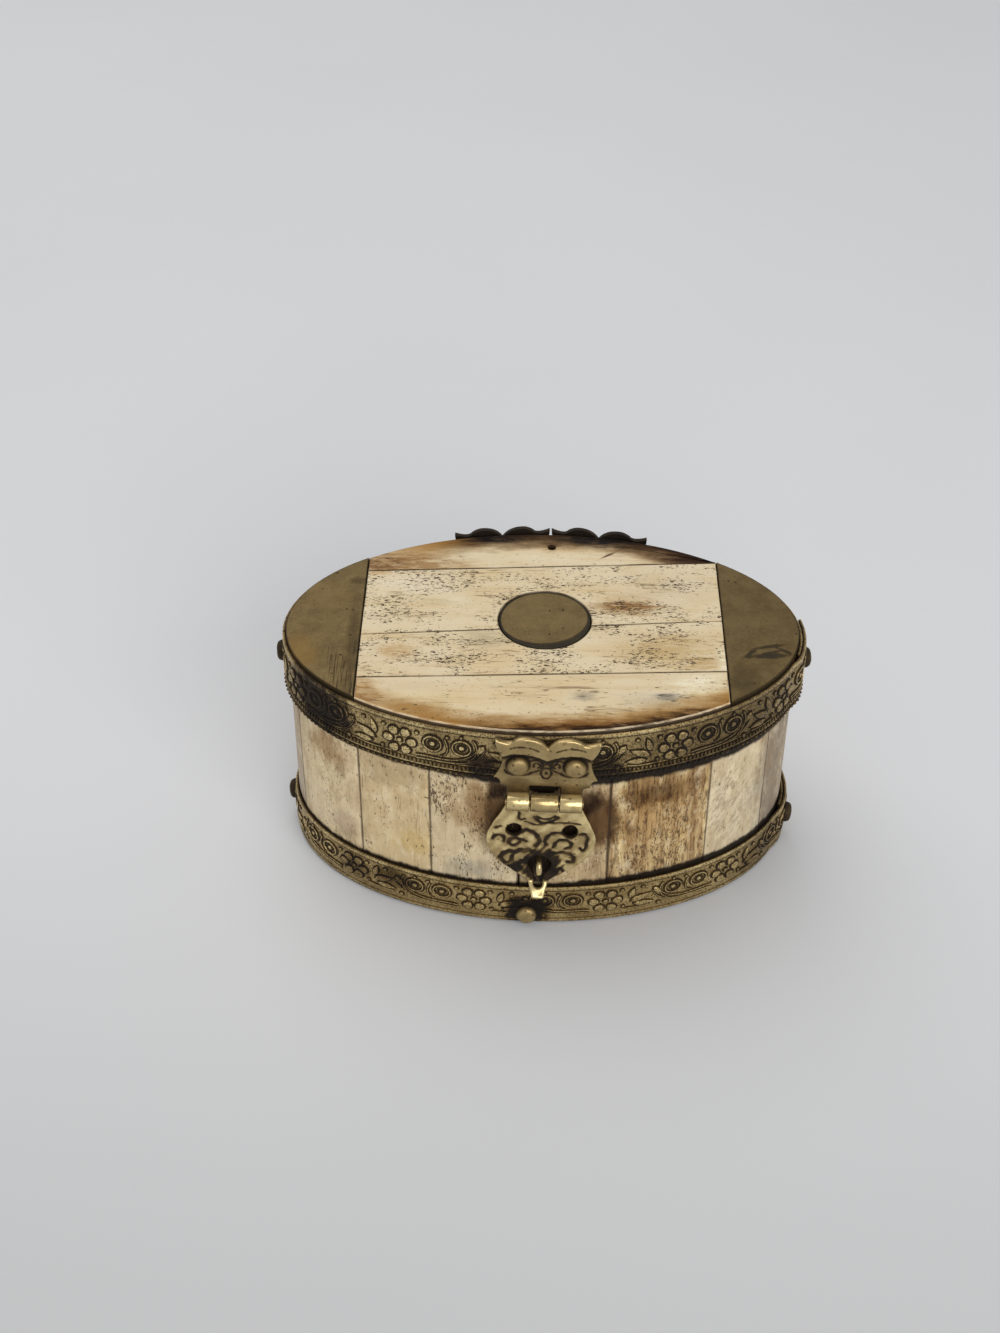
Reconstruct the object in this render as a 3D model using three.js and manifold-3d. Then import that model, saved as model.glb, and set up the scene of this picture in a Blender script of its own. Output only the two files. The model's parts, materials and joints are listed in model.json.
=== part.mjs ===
// Oval trinket box: a wooden carcass faced with bone slats and planks and bound with brass strip.
// The lid swings on two stamped hinges at the back and is held by a hasp over a staple at the front.
// Millimetres, +Z up, front towards -Y, origin on the table under the middle of the base.

import * as THREE from 'three';
import { mergeVertices } from 'three/addons/utils/BufferGeometryUtils.js';
import { TessellateModifier } from 'three/addons/modifiers/TessellateModifier.js';
import Module from 'manifold-3d';

const wasm = await Module();
wasm.setup();

// Outline and heights
const lidLength = 101.6; // over the lid band, end to end
const lidWidth = 63.5; // over the lid band, front to back
const boxHeight = 50.4; // table to the face of the lid
const lidHeight = 12.15; // lower edge of the lid to its face
const partingGap = 0.25; // between the box wall and the closed lid
const lidOverhang = 0.2; // lid core past the slats, all round

// Boards, slats and sheet
const baseBoardThickness = 4;
const wallThickness = 4;
const slatThickness = 2.2;
const lidBoardThickness = 2.5;
const plankThickness = 2;
const inlayThickness = 1; // brass end plates and roundel
const bandThickness = 0.6;
const glueGap = 0.15; // between faces that are glued or wrapped together
const seamGap = 0.2; // between neighbouring slats, planks and plates

// Side slats, counted anticlockwise from the seam to the right of the hasp
const firstSeamX = 13.4;
const slatWidths = [20.5, 14.9, 17.4, 16.6, 17.2, 16.8, 17.6, 16.4, 17.3, 17, 17.2, 17.9, 15.2, 17.6, 17.6];

// Lid face
const endPlateChord = 35.3; // middle of the lid to the straight edge of an end plate
const rearPlankEnd = 2.5; // mean width of the rear plank where it meets the end plates
const frontPlankEnd = 7.3; // and of the front plank
const middleSeamY = -0.35; // seam between the two wide planks, at mid lid
const rearSeamSkew = 3.4; // degrees, how far each seam turns from the long axis
const middleSeamSkew = 4.6;
const frontSeamSkew = 2.6;
const plankEdge = 0.5; // rounding along the outer rim of the bone
const roundelDiameter = 17.9;
const roundelX = 0.5;
const roundelY = 2.1;
const foramenDiameter = 1.7; // blood vessel hole in the rear plank
const foramenDepth = 1.3;
const foramenX = 1.9;
const foramenY = 26.2;

// Brass bands, each one strip whose tail laps over its start at the right end
const baseBandHeight = 9.6;
const baseBandLift = 0.4; // clear of the table
const lidBandLift = 0.1; // above the lower edge of the lid
const boneReveal = 0.85; // bone edge that shows above the lid band
const lapStart = -12; // degrees round the oval from the right end
const lapTurn = 20; // degrees that the tail runs over the start
const lapRamp = 8; // degrees in which the tail climbs

// Round headed nails
const nailHeadDiameter = 4.2;
const nailHeadHeight = 1.4;
const nailShankDiameter = 1.2;
const nailBite = 2; // shank length in the wood
const nailTaper = 1; // length of the point
const shankClearance = 0.15;
const nailSeatGap = 0.1; // under the head
const lidNailHeight = 5.4; // above the lower edge of the lid
const baseNails = [ // degrees round the oval and height of each
  { name: 'left', angle: 180, height: 6.5 },
  { name: 'front', angle: -92.6, height: 2.9 },
  { name: 'right', angle: -7, height: 5.5 },
  { name: 'rear', angle: 90, height: 5 },
];

// Stamped hinge leaves, measured from the knuckle axis
const leafThickness = 0.8;
const leafSeatGap = 0.15; // between a leaf and what it lies on
const leafReach = 14.8; // to the top of the lobes
const lobeSpacing = 8.4;
const notchDepth = 2.1; // of the notch between the lobes
const earSpan = 19.6; // over the ear tips
const earReach = 14.4;
const earDip = 0.7; // of the edge between ear and lobe
const waistSpan = 16.4;
const waistReach = 10;
const pointSpan = 19.4; // over the lower points
const pointReach = 4.8;
const scallopReach = 3; // to the step below the lower points
const browRise = 0.4; // relief of the wings over the nail field
const browMiddle = 9.6; // reach of the wings' lower edge in the middle
const browArch = 11.1; // over the nails
const browSide = 10.3; // at the waist
const leafNailSpacing = 10.6;
const leafNailReach = 8.4;

// Knuckles
const pinDiameter = 1.5;
const pinClearance = 0.2; // all round the pin
const pinStandout = 0.3; // past each end of the knuckles
const knuckleWall = 0.85;
const knuckleLength = 14.2;
const middleKnuckle = 5.2; // length of the middle barrel
const knuckleEndGap = 0.25;
const leafRootGap = 0.4; // from a barrel to the other leaf's edge
const leafSlotGap = 1.2; // from the middle barrel to the leaf with the outer barrels
const frontAxisDrop = 3.25; // hasp knuckle axis below the lid's lower edge
const rearAxisDrop = 2.05; // hinge knuckle axis below the lid's lower edge
const hingeSpacing = 20; // between the middles of the two back hinges
const hingeShift = 1.7; // of both back hinges to the right
const bendStart = 2.6; // reach at which a back leaf starts to bend to the wall
const bendEnd = 5.2; // reach from which it lies along the wall

// Hasp plate and staple
const haspShift = 0.7; // of the hasp's knuckle to the right
const haspLean = 2.2; // degrees that the hasp's top leans to the right
const plateRadius = 10.4;
const plateDrop = 11.5; // axis to the middle of the plate
const shoulderTurn = 35; // degrees, where the round edge starts below the knuckle
const flankTurn = 36; // degrees below the middle, where the lower flanks are flattest
const flankFlat = 0.95; // how far they lie inside the round
const plateHoleDiameter = 2.8;
const plateHoleSpacing = 10.7;
const lipWidth = 4.1;
const lipEndWidth = 2.5;
const lipLength = 3.9;
const lipTurn = 50; // degrees outwards from the plate
const lipOverlap = 0.5; // run of the lip into the plate
const slotRadius = 2.3;
const slotNeck = 1.9; // width at the foot of the slot
const slotFoot = 22.9; // axis to the foot of the slot
const stapleDrop = 18.4; // axis to the middle of the staple
const stapleWire = 1.2;
const stapleSpacing = 2.6; // between the middles of its legs
const stapleStandout = 1.2; // past the face of the hasp plate

// Facets
const ovalSegments = 36;
const slatSegments = 4;
const roundSides = 16;
const pinSides = 16;
const nailSides = 10;
const shankSides = 8;
const domeSteps = 3;
const outlineSteps = 3;
const stapleSteps = 26;
const leafFacet = 3.4; // longest edge of a leaf that is bent
const leafSplits = 9;
const weldDistance = 1e-4;

// Sizes that follow from the ones above
const lidBandOuter = { a: lidLength / 2, b: lidWidth / 2 };
const lidCore = inset(lidBandOuter, bandThickness + glueGap);
const slatOuter = inset(lidCore, lidOverhang);
const slatInner = inset(slatOuter, slatThickness);
const wallOuter = inset(slatInner, glueGap);
const wallInner = inset(wallOuter, wallThickness);
const baseBandInner = inset(slatOuter, -glueGap);
const baseBandOuter = inset(baseBandInner, -bandThickness);
const lidBottom = boxHeight - lidHeight;
const partingHeight = lidBottom - partingGap; // top edge of the box wall
const lidBandHeight = lidHeight - lidBandLift - boneReveal;
const plankBottom = lidHeight - plankThickness;
const lidBoardBottom = plankBottom - glueGap - lidBoardThickness;
const lidRimHeight = lidBoardBottom - glueGap;
const landHeight = plankThickness - inlayThickness;
const pinRadius = pinDiameter / 2;
const boreRadius = pinRadius + pinClearance;
const knuckleRadius = boreRadius + knuckleWall;
const axisOut = lidBandOuter.b + leafSeatGap + knuckleRadius; // knuckle axis from the middle plane
const leafRoot = knuckleRadius + leafRootGap;
const nailShank = 2 * glueGap + bandThickness + slatThickness + nailBite;
const lapRise = bandThickness + glueGap;

const brass = new THREE.MeshStandardMaterial({ color: 0x8a7440, roughness: 0.42, metalness: 1 });
const brightBrass = new THREE.MeshStandardMaterial({ color: 0xc9a85a, roughness: 0.28, metalness: 1 });
const bone = new THREE.MeshStandardMaterial({ color: 0xd9c59a, roughness: 0.45, metalness: 0 });
const wood = new THREE.MeshStandardMaterial({ color: 0x6b4526, roughness: 0.7, metalness: 0 });

// Solids and meshes

function toSolid(geometry) {
  const bare = geometry.clone();
  bare.deleteAttribute('normal');
  bare.deleteAttribute('uv');
  const merged = mergeVertices(bare, weldDistance);
  const vertProperties = new Float32Array(merged.attributes.position.array);
  const triVerts = new Uint32Array(merged.index.array);
  return new wasm.Manifold(new wasm.Mesh({ numProp: 3, vertProperties, triVerts }));
}

function toGeometry(solid) {
  const mesh = solid.getMesh();
  const geometry = new THREE.BufferGeometry();
  geometry.setAttribute('position', new THREE.BufferAttribute(mesh.vertProperties, 3));
  geometry.setIndex(new THREE.BufferAttribute(mesh.triVerts, 1));
  geometry.computeVertexNormals();
  return geometry;
}

function addPiece(parent, name, solid, material) {
  const mesh = new THREE.Mesh(toGeometry(solid), material);
  mesh.name = name;
  parent.add(mesh);
  return mesh;
}

function cut(solid, tools) {
  return tools.reduce((left, tool) => left.subtract(tool), solid);
}

// Ovals

function inset(outline, distance) {
  return { a: outline.a - distance, b: outline.b - distance };
}

function ovalPoint(outline, angle, out = 0) {
  return new THREE.Vector2((outline.a + out) * Math.cos(angle), (outline.b + out) * Math.sin(angle));
}

function ovalDepth(outline, x) {
  return outline.b * Math.sqrt(1 - (x / outline.a) ** 2);
}

function ovalShape(outline) {
  return new THREE.Shape().absellipse(0, 0, outline.a, outline.b, 0, 2 * Math.PI);
}

function raised(shape, bottom, height, curveSegments = ovalSegments) {
  const options = { depth: height, bevelEnabled: false, curveSegments };
  return toSolid(new THREE.ExtrudeGeometry(shape, options).translate(0, 0, bottom));
}

function ovalBoard(outline, bottom, height) {
  return raised(ovalShape(outline), bottom, height);
}

function ovalRing(outer, inner, bottom, height) {
  const shape = ovalShape(outer);
  shape.holes.push(ovalShape(inner));
  return raised(shape, bottom, height);
}

// Angles that part the oval into pieces of the given widths, from startAngle round to itself
function partingAngles(outline, widths, startAngle) {
  const steps = 2000;
  const turn = (2 * Math.PI) / steps;
  const lengths = [0];
  for (let i = 0; i < steps; i++) {
    const here = ovalPoint(outline, startAngle + i * turn);
    lengths.push(lengths[i] + here.distanceTo(ovalPoint(outline, startAngle + (i + 1) * turn)));
  }
  const scale = lengths[steps] / widths.reduce((sum, width) => sum + width);
  const angles = [startAngle];
  let reached = 0;
  for (const width of widths) {
    reached += width * scale;
    const step = lengths.findIndex((length) => length >= reached - weldDistance);
    angles.push(startAngle + step * turn);
  }
  return angles;
}

// Fasteners

function wallSeat(outline, angle, height, out = 0) {
  const place = ovalPoint(outline, angle, out);
  const normal = new THREE.Vector3(Math.cos(angle) / outline.a, Math.sin(angle) / outline.b, 0).normalize();
  const position = new THREE.Vector3(place.x, place.y, height).addScaledVector(normal, nailSeatGap);
  return { position, normal };
}

function nailSolid() {
  const head = nailHeadDiameter / 2;
  const shank = nailShankDiameter / 2;
  const profile = new THREE.Path();
  profile.moveTo(0, -nailShank);
  profile.lineTo(shank, nailTaper - nailShank);
  profile.lineTo(shank, 0);
  profile.lineTo(head, 0);
  profile.bezierCurveTo(head, nailHeadHeight * 0.7, head * 0.6, nailHeadHeight, 0, nailHeadHeight);
  return toSolid(new THREE.LatheGeometry(profile.getPoints(domeSteps), nailSides));
}

function addNail(parent, name, seat, material) {
  const nail = addPiece(parent, name, nailSolid(), material);
  nail.position.copy(seat.position);
  nail.quaternion.setFromUnitVectors(new THREE.Vector3(0, 1, 0), seat.normal);
}

// Straight hole along a nail's shank, in the frame that matrix leads to
function shankHole(seat, matrix = new THREE.Matrix4()) {
  const radius = nailShankDiameter / 2 + shankClearance;
  const length = 2 * (nailShank + shankClearance);
  const turn = new THREE.Quaternion().setFromUnitVectors(new THREE.Vector3(0, 1, 0), seat.normal);
  const hole = new THREE.CylinderGeometry(radius, radius, length, shankSides).applyQuaternion(turn);
  return toSolid(hole.translate(...seat.position).applyMatrix4(matrix));
}

// Brass strip round an oval, its tail climbing over its start
function bandSolid(inner, bottom, height) {
  const start = THREE.MathUtils.degToRad(lapStart);
  const end = start + 2 * Math.PI + THREE.MathUtils.degToRad(lapTurn);
  const ramp = THREE.MathUtils.degToRad(lapRamp);
  const steps = Math.ceil((end - start) / (Math.PI / ovalSegments));
  const inside = [];
  const outside = [];
  for (let i = 0; i <= steps; i++) {
    const angle = start + ((end - start) * i) / steps;
    const climb = THREE.MathUtils.smoothstep(angle, start + 2 * Math.PI - ramp, start + 2 * Math.PI);
    inside.push(ovalPoint(inner, angle, lapRise * climb));
    outside.push(ovalPoint(inner, angle, lapRise * climb + bandThickness));
  }
  return raised(new THREE.Shape([...outside, ...inside.reverse()]), bottom, height);
}

// Hinge leaves: x along the knuckle axis, z away from it, +Y towards the wall

function mirrored(half) {
  const right = half.getPoints(outlineSteps);
  const left = right.map((point) => new THREE.Vector2(-point.x, point.y)).reverse();
  const outline = [...right, ...left];
  const isNew = (point, i) => i === 0 || point.distanceTo(outline[i - 1]) > weldDistance;
  return new THREE.Shape(outline.filter(isNew));
}

function uprightPlate(shape, thickness, innerFace) {
  const options = { depth: thickness, bevelEnabled: false, curveSegments: outlineSteps };
  return new THREE.ExtrudeGeometry(shape, options).rotateX(Math.PI / 2).translate(0, innerFace, 0);
}

function wingOutline(path) {
  const barrel = knuckleLength / 2;
  const point = pointSpan / 2;
  const waist = waistSpan / 2;
  const ear = earSpan / 2;
  const lobe = lobeSpacing / 2;
  const step = (barrel + point) / 2;
  path.quadraticCurveTo(barrel, scallopReach, step, scallopReach);
  path.quadraticCurveTo(step, pointReach, point, pointReach);
  path.quadraticCurveTo(waist, (pointReach + waistReach) / 2, waist, waistReach);
  path.quadraticCurveTo(ear, (waistReach + earReach) / 2, ear, earReach);
  path.quadraticCurveTo((ear + lobe) / 2, earReach - 2 * earDip, lobe + lobe / 2, leafReach - earDip);
  path.quadraticCurveTo(lobe + lobe / 4, leafReach, lobe, leafReach);
  path.quadraticCurveTo(lobe / 3, leafReach, 0, leafReach - notchDepth);
}

// Leaf with the two outer barrels
function outerLeafShape() {
  const gap = middleKnuckle / 2 + knuckleEndGap;
  const slot = knuckleRadius + leafSlotGap;
  const half = new THREE.Path();
  half.moveTo(0, slot);
  half.lineTo(gap, slot);
  half.lineTo(gap, 0);
  half.lineTo(knuckleLength / 2, 0);
  half.lineTo(knuckleLength / 2, leafRoot);
  wingOutline(half);
  return mirrored(half);
}

// Leaf with the middle barrel
function innerLeafShape() {
  const half = new THREE.Path();
  half.moveTo(0, 0);
  half.lineTo(middleKnuckle / 2, 0);
  half.lineTo(middleKnuckle / 2, leafRoot);
  half.lineTo(knuckleLength / 2, leafRoot);
  wingOutline(half);
  return mirrored(half);
}

// Region of the raised wings, above the brow line
function browShape() {
  const side = earSpan;
  const nail = leafNailSpacing / 2;
  const half = new THREE.Path();
  half.moveTo(0, browMiddle);
  half.quadraticCurveTo(nail / 2, browArch, nail, browArch);
  half.quadraticCurveTo((nail + waistSpan / 2) / 2, browArch, waistSpan / 2, browSide);
  half.lineTo(side, browSide);
  half.lineTo(side, 2 * leafReach);
  half.lineTo(0, 2 * leafReach);
  return mirrored(half);
}

function barrel(from, to) {
  const length = to - from;
  const tube = new THREE.CylinderGeometry(knuckleRadius, knuckleRadius, length, pinSides);
  return toSolid(tube.rotateZ(Math.PI / 2).translate(from + length / 2, 0, 0));
}

function pinSolid(radius, length) {
  return toSolid(new THREE.CylinderGeometry(radius, radius, length, pinSides).rotateZ(Math.PI / 2));
}

// Presses a plate to the wall behind it, leaving its root straight
function bent(geometry, wallFace) {
  const split = new TessellateModifier(leafFacet, leafSplits).modify(geometry.toNonIndexed());
  const position = split.attributes.position;
  for (let i = 0; i < position.count; i++) {
    const share = THREE.MathUtils.smoothstep(Math.abs(position.getZ(i)), bendStart, bendEnd);
    const move = wallFace(position.getX(i)) - knuckleRadius;
    position.setY(i, position.getY(i) + share * move);
  }
  return split;
}

function wingedPlate(shape, wings) {
  const plate = toSolid(uprightPlate(shape, leafThickness, knuckleRadius));
  const deep = toSolid(uprightPlate(shape, leafThickness + browRise, knuckleRadius));
  const brow = toSolid(uprightPlate(wings, leafThickness + browRise, knuckleRadius));
  return plate.add(deep.intersect(brow));
}

// The same outline, hanging below the axis
function hanging(shape) {
  return new THREE.Shape(shape.getPoints().map((point) => new THREE.Vector2(point.x, -point.y)).reverse());
}

// Joins barrels to a plate, then cuts the pin bore and the nail holes
function knuckled(plate, barrels, seats) {
  const joined = barrels.reduce((sum, tube) => sum.add(tube), plate);
  const bore = pinSolid(boreRadius, 2 * knuckleLength);
  return cut(joined, [bore, ...seats.map((seat) => shankHole(seat))]);
}

function outerBarrels() {
  const inner = middleKnuckle / 2 + knuckleEndGap;
  return [barrel(inner, knuckleLength / 2), barrel(-knuckleLength / 2, -inner)];
}

function middleBarrel() {
  return [barrel(-middleKnuckle / 2, middleKnuckle / 2)];
}

// Seats of a leaf's two nails; reach is below the axis when negative
function leafSeats(reach, wallFace) {
  return [-1, 1].map((side) => {
    const x = (side * leafNailSpacing) / 2;
    const slope = (wallFace(x + seamGap) - wallFace(x - seamGap)) / (2 * seamGap);
    const normal = new THREE.Vector3(slope, -1, 0).normalize();
    const position = new THREE.Vector3(x, wallFace(x) - leafThickness, reach);
    return { position: position.addScaledVector(normal, nailSeatGap), normal };
  });
}

function addLeafNails(group, name, seats) {
  ['a', 'b'].forEach((tag, i) => addNail(group, `${name}_nail_${tag}`, seats[i], brass));
}

const root = new THREE.Group();
const box = new THREE.Group();
const lid = new THREE.Group();
lid.position.z = lidBottom;
root.add(box, lid);

// Nail seats of the two bands
const lidNails = [
  { name: 'left', seat: wallSeat(lidBandOuter, Math.PI, lidNailHeight) },
  { name: 'right', seat: wallSeat(lidBandOuter, 0, lidNailHeight, lapRise) },
];
const bandNails = baseNails.map(({ name, angle, height }) => {
  const lapped = angle > lapStart && angle < lapStart + lapTurn;
  const seat = wallSeat(baseBandOuter, THREE.MathUtils.degToRad(angle), height, lapped ? lapRise : 0);
  return { name, seat };
});
lidNails.forEach(({ name, seat }) => addNail(lid, `lid_nail_${name}`, seat, brass));
bandNails.forEach(({ name, seat }) => addNail(box, `base_nail_${name}`, seat, brass));
const lidHoles = lidNails.map(({ seat }) => shankHole(seat));
const boxHoles = bandNails.map(({ seat }) => shankHole(seat));

// Back hinges: the lid carries the outer barrels and the pin, the box the middle barrel
[{ side: 'left', turn: -1 }, { side: 'right', turn: 1 }].forEach(({ side, turn }) => {
  const name = `hinge_${side}`;
  const x = hingeShift + (turn * hingeSpacing) / 2;
  const faceOf = (outline) => (across) => axisOut - ovalDepth(outline, x - across) - leafSeatGap;

  const upper = new THREE.Group();
  upper.position.set(x, axisOut, -rearAxisDrop);
  upper.rotation.z = Math.PI;
  upper.updateMatrix();
  const upperFace = faceOf(lidBandOuter);
  const upperSeats = leafSeats(leafNailReach, upperFace);
  const upperPlate = toSolid(bent(toGeometry(wingedPlate(outerLeafShape(), browShape())), upperFace));
  addPiece(upper, `${name}_upper_leaf`, knuckled(upperPlate, outerBarrels(), upperSeats), brass);
  addPiece(upper, `${name}_pin`, pinSolid(pinRadius, knuckleLength + 2 * pinStandout), brightBrass);
  addLeafNails(upper, `${name}_upper`, upperSeats);
  lidHoles.push(...upperSeats.map((seat) => shankHole(seat, upper.matrix)));
  lid.add(upper);

  const lower = new THREE.Group();
  lower.position.set(x, axisOut, lidBottom - rearAxisDrop);
  lower.rotation.z = Math.PI;
  lower.updateMatrix();
  const lowerFace = faceOf(slatOuter);
  const lowerSeats = leafSeats(-leafNailReach, lowerFace);
  const lowerFlat = wingedPlate(hanging(innerLeafShape()), hanging(browShape()));
  const lowerPlate = toSolid(bent(toGeometry(lowerFlat), lowerFace));
  addPiece(lower, `${name}_lower_leaf`, knuckled(lowerPlate, middleBarrel(), lowerSeats), brass);
  addLeafNails(lower, `${name}_lower`, lowerSeats);
  boxHoles.push(...lowerSeats.map((seat) => shankHole(seat, lower.matrix)));
  box.add(lower);
});

// Hasp: a flat leaf on the lid, and a plate that hangs from it over the staple
const haspLeaf = new THREE.Group();
haspLeaf.position.set(haspShift, -axisOut, -frontAxisDrop);
haspLeaf.rotation.y = THREE.MathUtils.degToRad(haspLean);
haspLeaf.updateMatrix();
const haspSeats = leafSeats(leafNailReach, () => knuckleRadius);
const haspLeafPlate = wingedPlate(outerLeafShape(), browShape());
addPiece(haspLeaf, 'hasp_leaf', knuckled(haspLeafPlate, outerBarrels(), haspSeats), brass);
addPiece(haspLeaf, 'hasp_pin', pinSolid(pinRadius, knuckleLength + 2 * pinStandout), brightBrass);
addLeafNails(haspLeaf, 'hasp', haspSeats);
lidHoles.push(...haspSeats.map((seat) => shankHole(seat, haspLeaf.matrix)));
lid.add(haspLeaf);

function onPlate(angle, radius) {
  return new THREE.Vector2(radius * Math.cos(angle), radius * Math.sin(angle) - plateDrop);
}

function haspPlateShape() {
  const turn = THREE.MathUtils.degToRad(shoulderTurn);
  const lipCorner = -Math.acos(lipWidth / 2 / plateRadius);
  const half = new THREE.Path();
  half.moveTo(0, 0);
  half.lineTo(middleKnuckle / 2, 0);
  half.lineTo(middleKnuckle / 2, -leafRoot);
  half.lineTo(knuckleLength / 2, -leafRoot);
  half.absarc(0, -plateDrop, plateRadius, turn, -turn / 4, true);
  const flank = onPlate(-THREE.MathUtils.degToRad(flankTurn), plateRadius - flankFlat);
  const corner = onPlate(lipCorner, plateRadius);
  half.splineThru([flank, corner]);
  half.lineTo(0, corner.y);
  return mirrored(half);
}

function lipShape() {
  const half = new THREE.Path();
  half.moveTo(0, lipOverlap);
  half.lineTo(lipWidth / 2, lipOverlap);
  half.lineTo(lipWidth / 2, 0);
  half.lineTo(lipEndWidth / 2, lipEndWidth / 4 - lipLength);
  half.quadraticCurveTo(lipEndWidth / 2, -lipLength, lipEndWidth / 4, -lipLength);
  half.lineTo(0, -lipLength);
  return mirrored(half);
}

function slotShape() {
  const neck = slotNeck / 2;
  const middle = -stapleDrop + (stapleSpacing + stapleWire) / 4;
  const half = new THREE.Path();
  half.moveTo(0, middle + slotRadius);
  half.absarc(0, middle, slotRadius, Math.PI / 2, -Math.PI / 6, true);
  half.lineTo(neck, (middle - slotFoot) / 2);
  half.lineTo(neck, neck - slotFoot);
  half.absarc(0, neck - slotFoot, neck, 0, -Math.PI / 2, true);
  return mirrored(half);
}

function haspPlateSolid() {
  const plate = toSolid(uprightPlate(haspPlateShape(), leafThickness, knuckleRadius));
  const lipRoot = -plateDrop - Math.sqrt(plateRadius ** 2 - (lipWidth / 2) ** 2);
  const tongue = uprightPlate(lipShape(), leafThickness, leafThickness / 2);
  tongue.rotateX(-THREE.MathUtils.degToRad(lipTurn));
  tongue.translate(0, knuckleRadius - leafThickness / 2, lipRoot);
  const through = 2 * (lipLength + knuckleRadius);
  const slot = toSolid(uprightPlate(slotShape(), through, through / 2));
  const holeRadius = plateHoleDiameter / 2;
  const holes = [-1, 1].map((side) => {
    const hole = new THREE.CylinderGeometry(holeRadius, holeRadius, through, roundSides);
    return toSolid(hole.translate((side * plateHoleSpacing) / 2, 0, -leafNailReach));
  });
  return cut(knuckled(plate.add(toSolid(tongue)), middleBarrel(), []), [slot, ...holes]);
}

const hasp = new THREE.Group();
hasp.position.copy(haspLeaf.position);
hasp.rotation.copy(haspLeaf.rotation);
addPiece(hasp, 'hasp_plate', haspPlateSolid(), brass);
lid.add(hasp);

// Staple: two legs in the wall and a round crown, in the upright middle plane
const stapleCrown = (stapleSpacing + stapleWire) / 2;
const haspFace = axisOut - knuckleRadius + leafThickness;
const crownMiddle = -(haspFace + stapleStandout - stapleCrown);
const stapleTip = -(wallOuter.b - nailBite);
const stapleHeight = lidBottom - frontAxisDrop - stapleDrop;

class StapleCurve extends THREE.Curve {
  getPoint(t, target = new THREE.Vector3()) {
    const leg = stapleTip - crownMiddle;
    const bow = (Math.PI * stapleSpacing) / 2;
    const along = t * (2 * leg + bow);
    const radius = stapleSpacing / 2;
    if (along < leg) return target.set(0, stapleTip - along, radius);
    if (along > leg + bow) return target.set(0, crownMiddle + along - leg - bow, -radius);
    const turn = (along - leg) / radius;
    return target.set(0, crownMiddle - radius * Math.sin(turn), radius * Math.cos(turn));
  }
}

const wireSection = new THREE.Shape().absarc(0, 0, stapleWire / 2, 0, 2 * Math.PI);
const wireOptions = { steps: stapleSteps, extrudePath: new StapleCurve(), curveSegments: shankSides / 2 };
const wire = toSolid(new THREE.ExtrudeGeometry(wireSection, wireOptions));
const staple = addPiece(box, 'staple', wire, brightBrass);
staple.position.z = stapleHeight;
[-1, 1].forEach((side) => {
  const radius = stapleWire / 2 + shankClearance;
  const depth = slatOuter.b + stapleTip + shankClearance;
  const hole = new THREE.CylinderGeometry(radius, radius, 2 * depth, shankSides);
  hole.translate(0, -slatOuter.b, stapleHeight + (side * stapleSpacing) / 2);
  boxHoles.push(toSolid(hole));
});

// Box body
addPiece(box, 'base_board', cut(ovalBoard(wallOuter, 0, baseBoardThickness), boxHoles), wood);
const wallBottom = baseBoardThickness + glueGap;
const wallRing = ovalRing(wallOuter, wallInner, wallBottom, partingHeight - wallBottom);
addPiece(box, 'wall_ring', cut(wallRing, boxHoles), wood);
const baseBand = bandSolid(baseBandInner, baseBandLift, baseBandHeight);
addPiece(box, 'base_band', cut(baseBand, boxHoles), brass);

function slatSolid(from, to) {
  const trim = seamGap / 2 / slatOuter.b;
  const shape = new THREE.Shape();
  shape.absellipse(0, 0, slatOuter.a, slatOuter.b, from + trim, to - trim, false);
  shape.absellipse(0, 0, slatInner.a, slatInner.b, to - trim, from + trim, true);
  return raised(shape, 0, partingHeight, slatSegments);
}

const seamAngles = partingAngles(slatOuter, slatWidths, -Math.acos(firstSeamX / slatOuter.a));
slatWidths.forEach((width, i) => {
  const name = `side_slat_${String(i + 1).padStart(2, '0')}`;
  addPiece(box, name, cut(slatSolid(seamAngles[i], seamAngles[i + 1]), boxHoles), bone);
});

// Lid
const lidRim = ovalRing(lidCore, wallInner, 0, lidRimHeight);
addPiece(lid, 'lid_rim', cut(lidRim, lidHoles), wood);
const lidBand = bandSolid(inset(lidCore, -glueGap), lidBandLift, lidBandHeight);
addPiece(lid, 'lid_band', cut(lidBand, lidHoles), brass);

function slab(fromX, toX, fromY, toY, bottom, height) {
  const block = new THREE.BoxGeometry(toX - fromX, toY - fromY, height);
  return block.translate((fromX + toX) / 2, (fromY + toY) / 2, bottom + height / 2);
}

function disc(radius, bottom, height) {
  const round = new THREE.CylinderGeometry(radius, radius, height, 3 * roundSides).rotateX(Math.PI / 2);
  return toSolid(round.translate(roundelX, roundelY, bottom + height / 2));
}

// End plates and the lands that lift them to the face of the bone
const endReach = { from: endPlateChord + seamGap / 2, to: lidLength };
const endBlock = (side, bottom, height) => {
  const ends = [side * endReach.from, side * endReach.to].sort((p, q) => p - q);
  return toSolid(slab(...ends, -lidWidth, lidWidth, bottom, height));
};
const plateBottom = lidHeight - inlayThickness;
const landTop = plateBottom - glueGap;
const roundelRadius = roundelDiameter / 2;
let lidBoard = ovalBoard(lidCore, lidBoardBottom, lidBoardThickness);
const lands = ovalBoard(lidCore, lidBoardBottom, landTop - lidBoardBottom);
[-1, 1].forEach((side) => {
  lidBoard = lidBoard.add(lands.intersect(endBlock(side, lidBoardBottom, lidHeight)));
});
lidBoard = lidBoard.add(disc(roundelRadius - landHeight / 2, lidBoardBottom, landTop - lidBoardBottom));
addPiece(lid, 'lid_board', cut(lidBoard, lidHoles), wood);

const plateBlank = ovalBoard(lidCore, plateBottom, inlayThickness);
addPiece(lid, 'end_plate_left', plateBlank.intersect(endBlock(-1, plateBottom, inlayThickness)), brass);
addPiece(lid, 'end_plate_right', plateBlank.intersect(endBlock(1, plateBottom, inlayThickness)), brass);
addPiece(lid, 'roundel', disc(roundelRadius, plateBottom, inlayThickness), brass);

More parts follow.
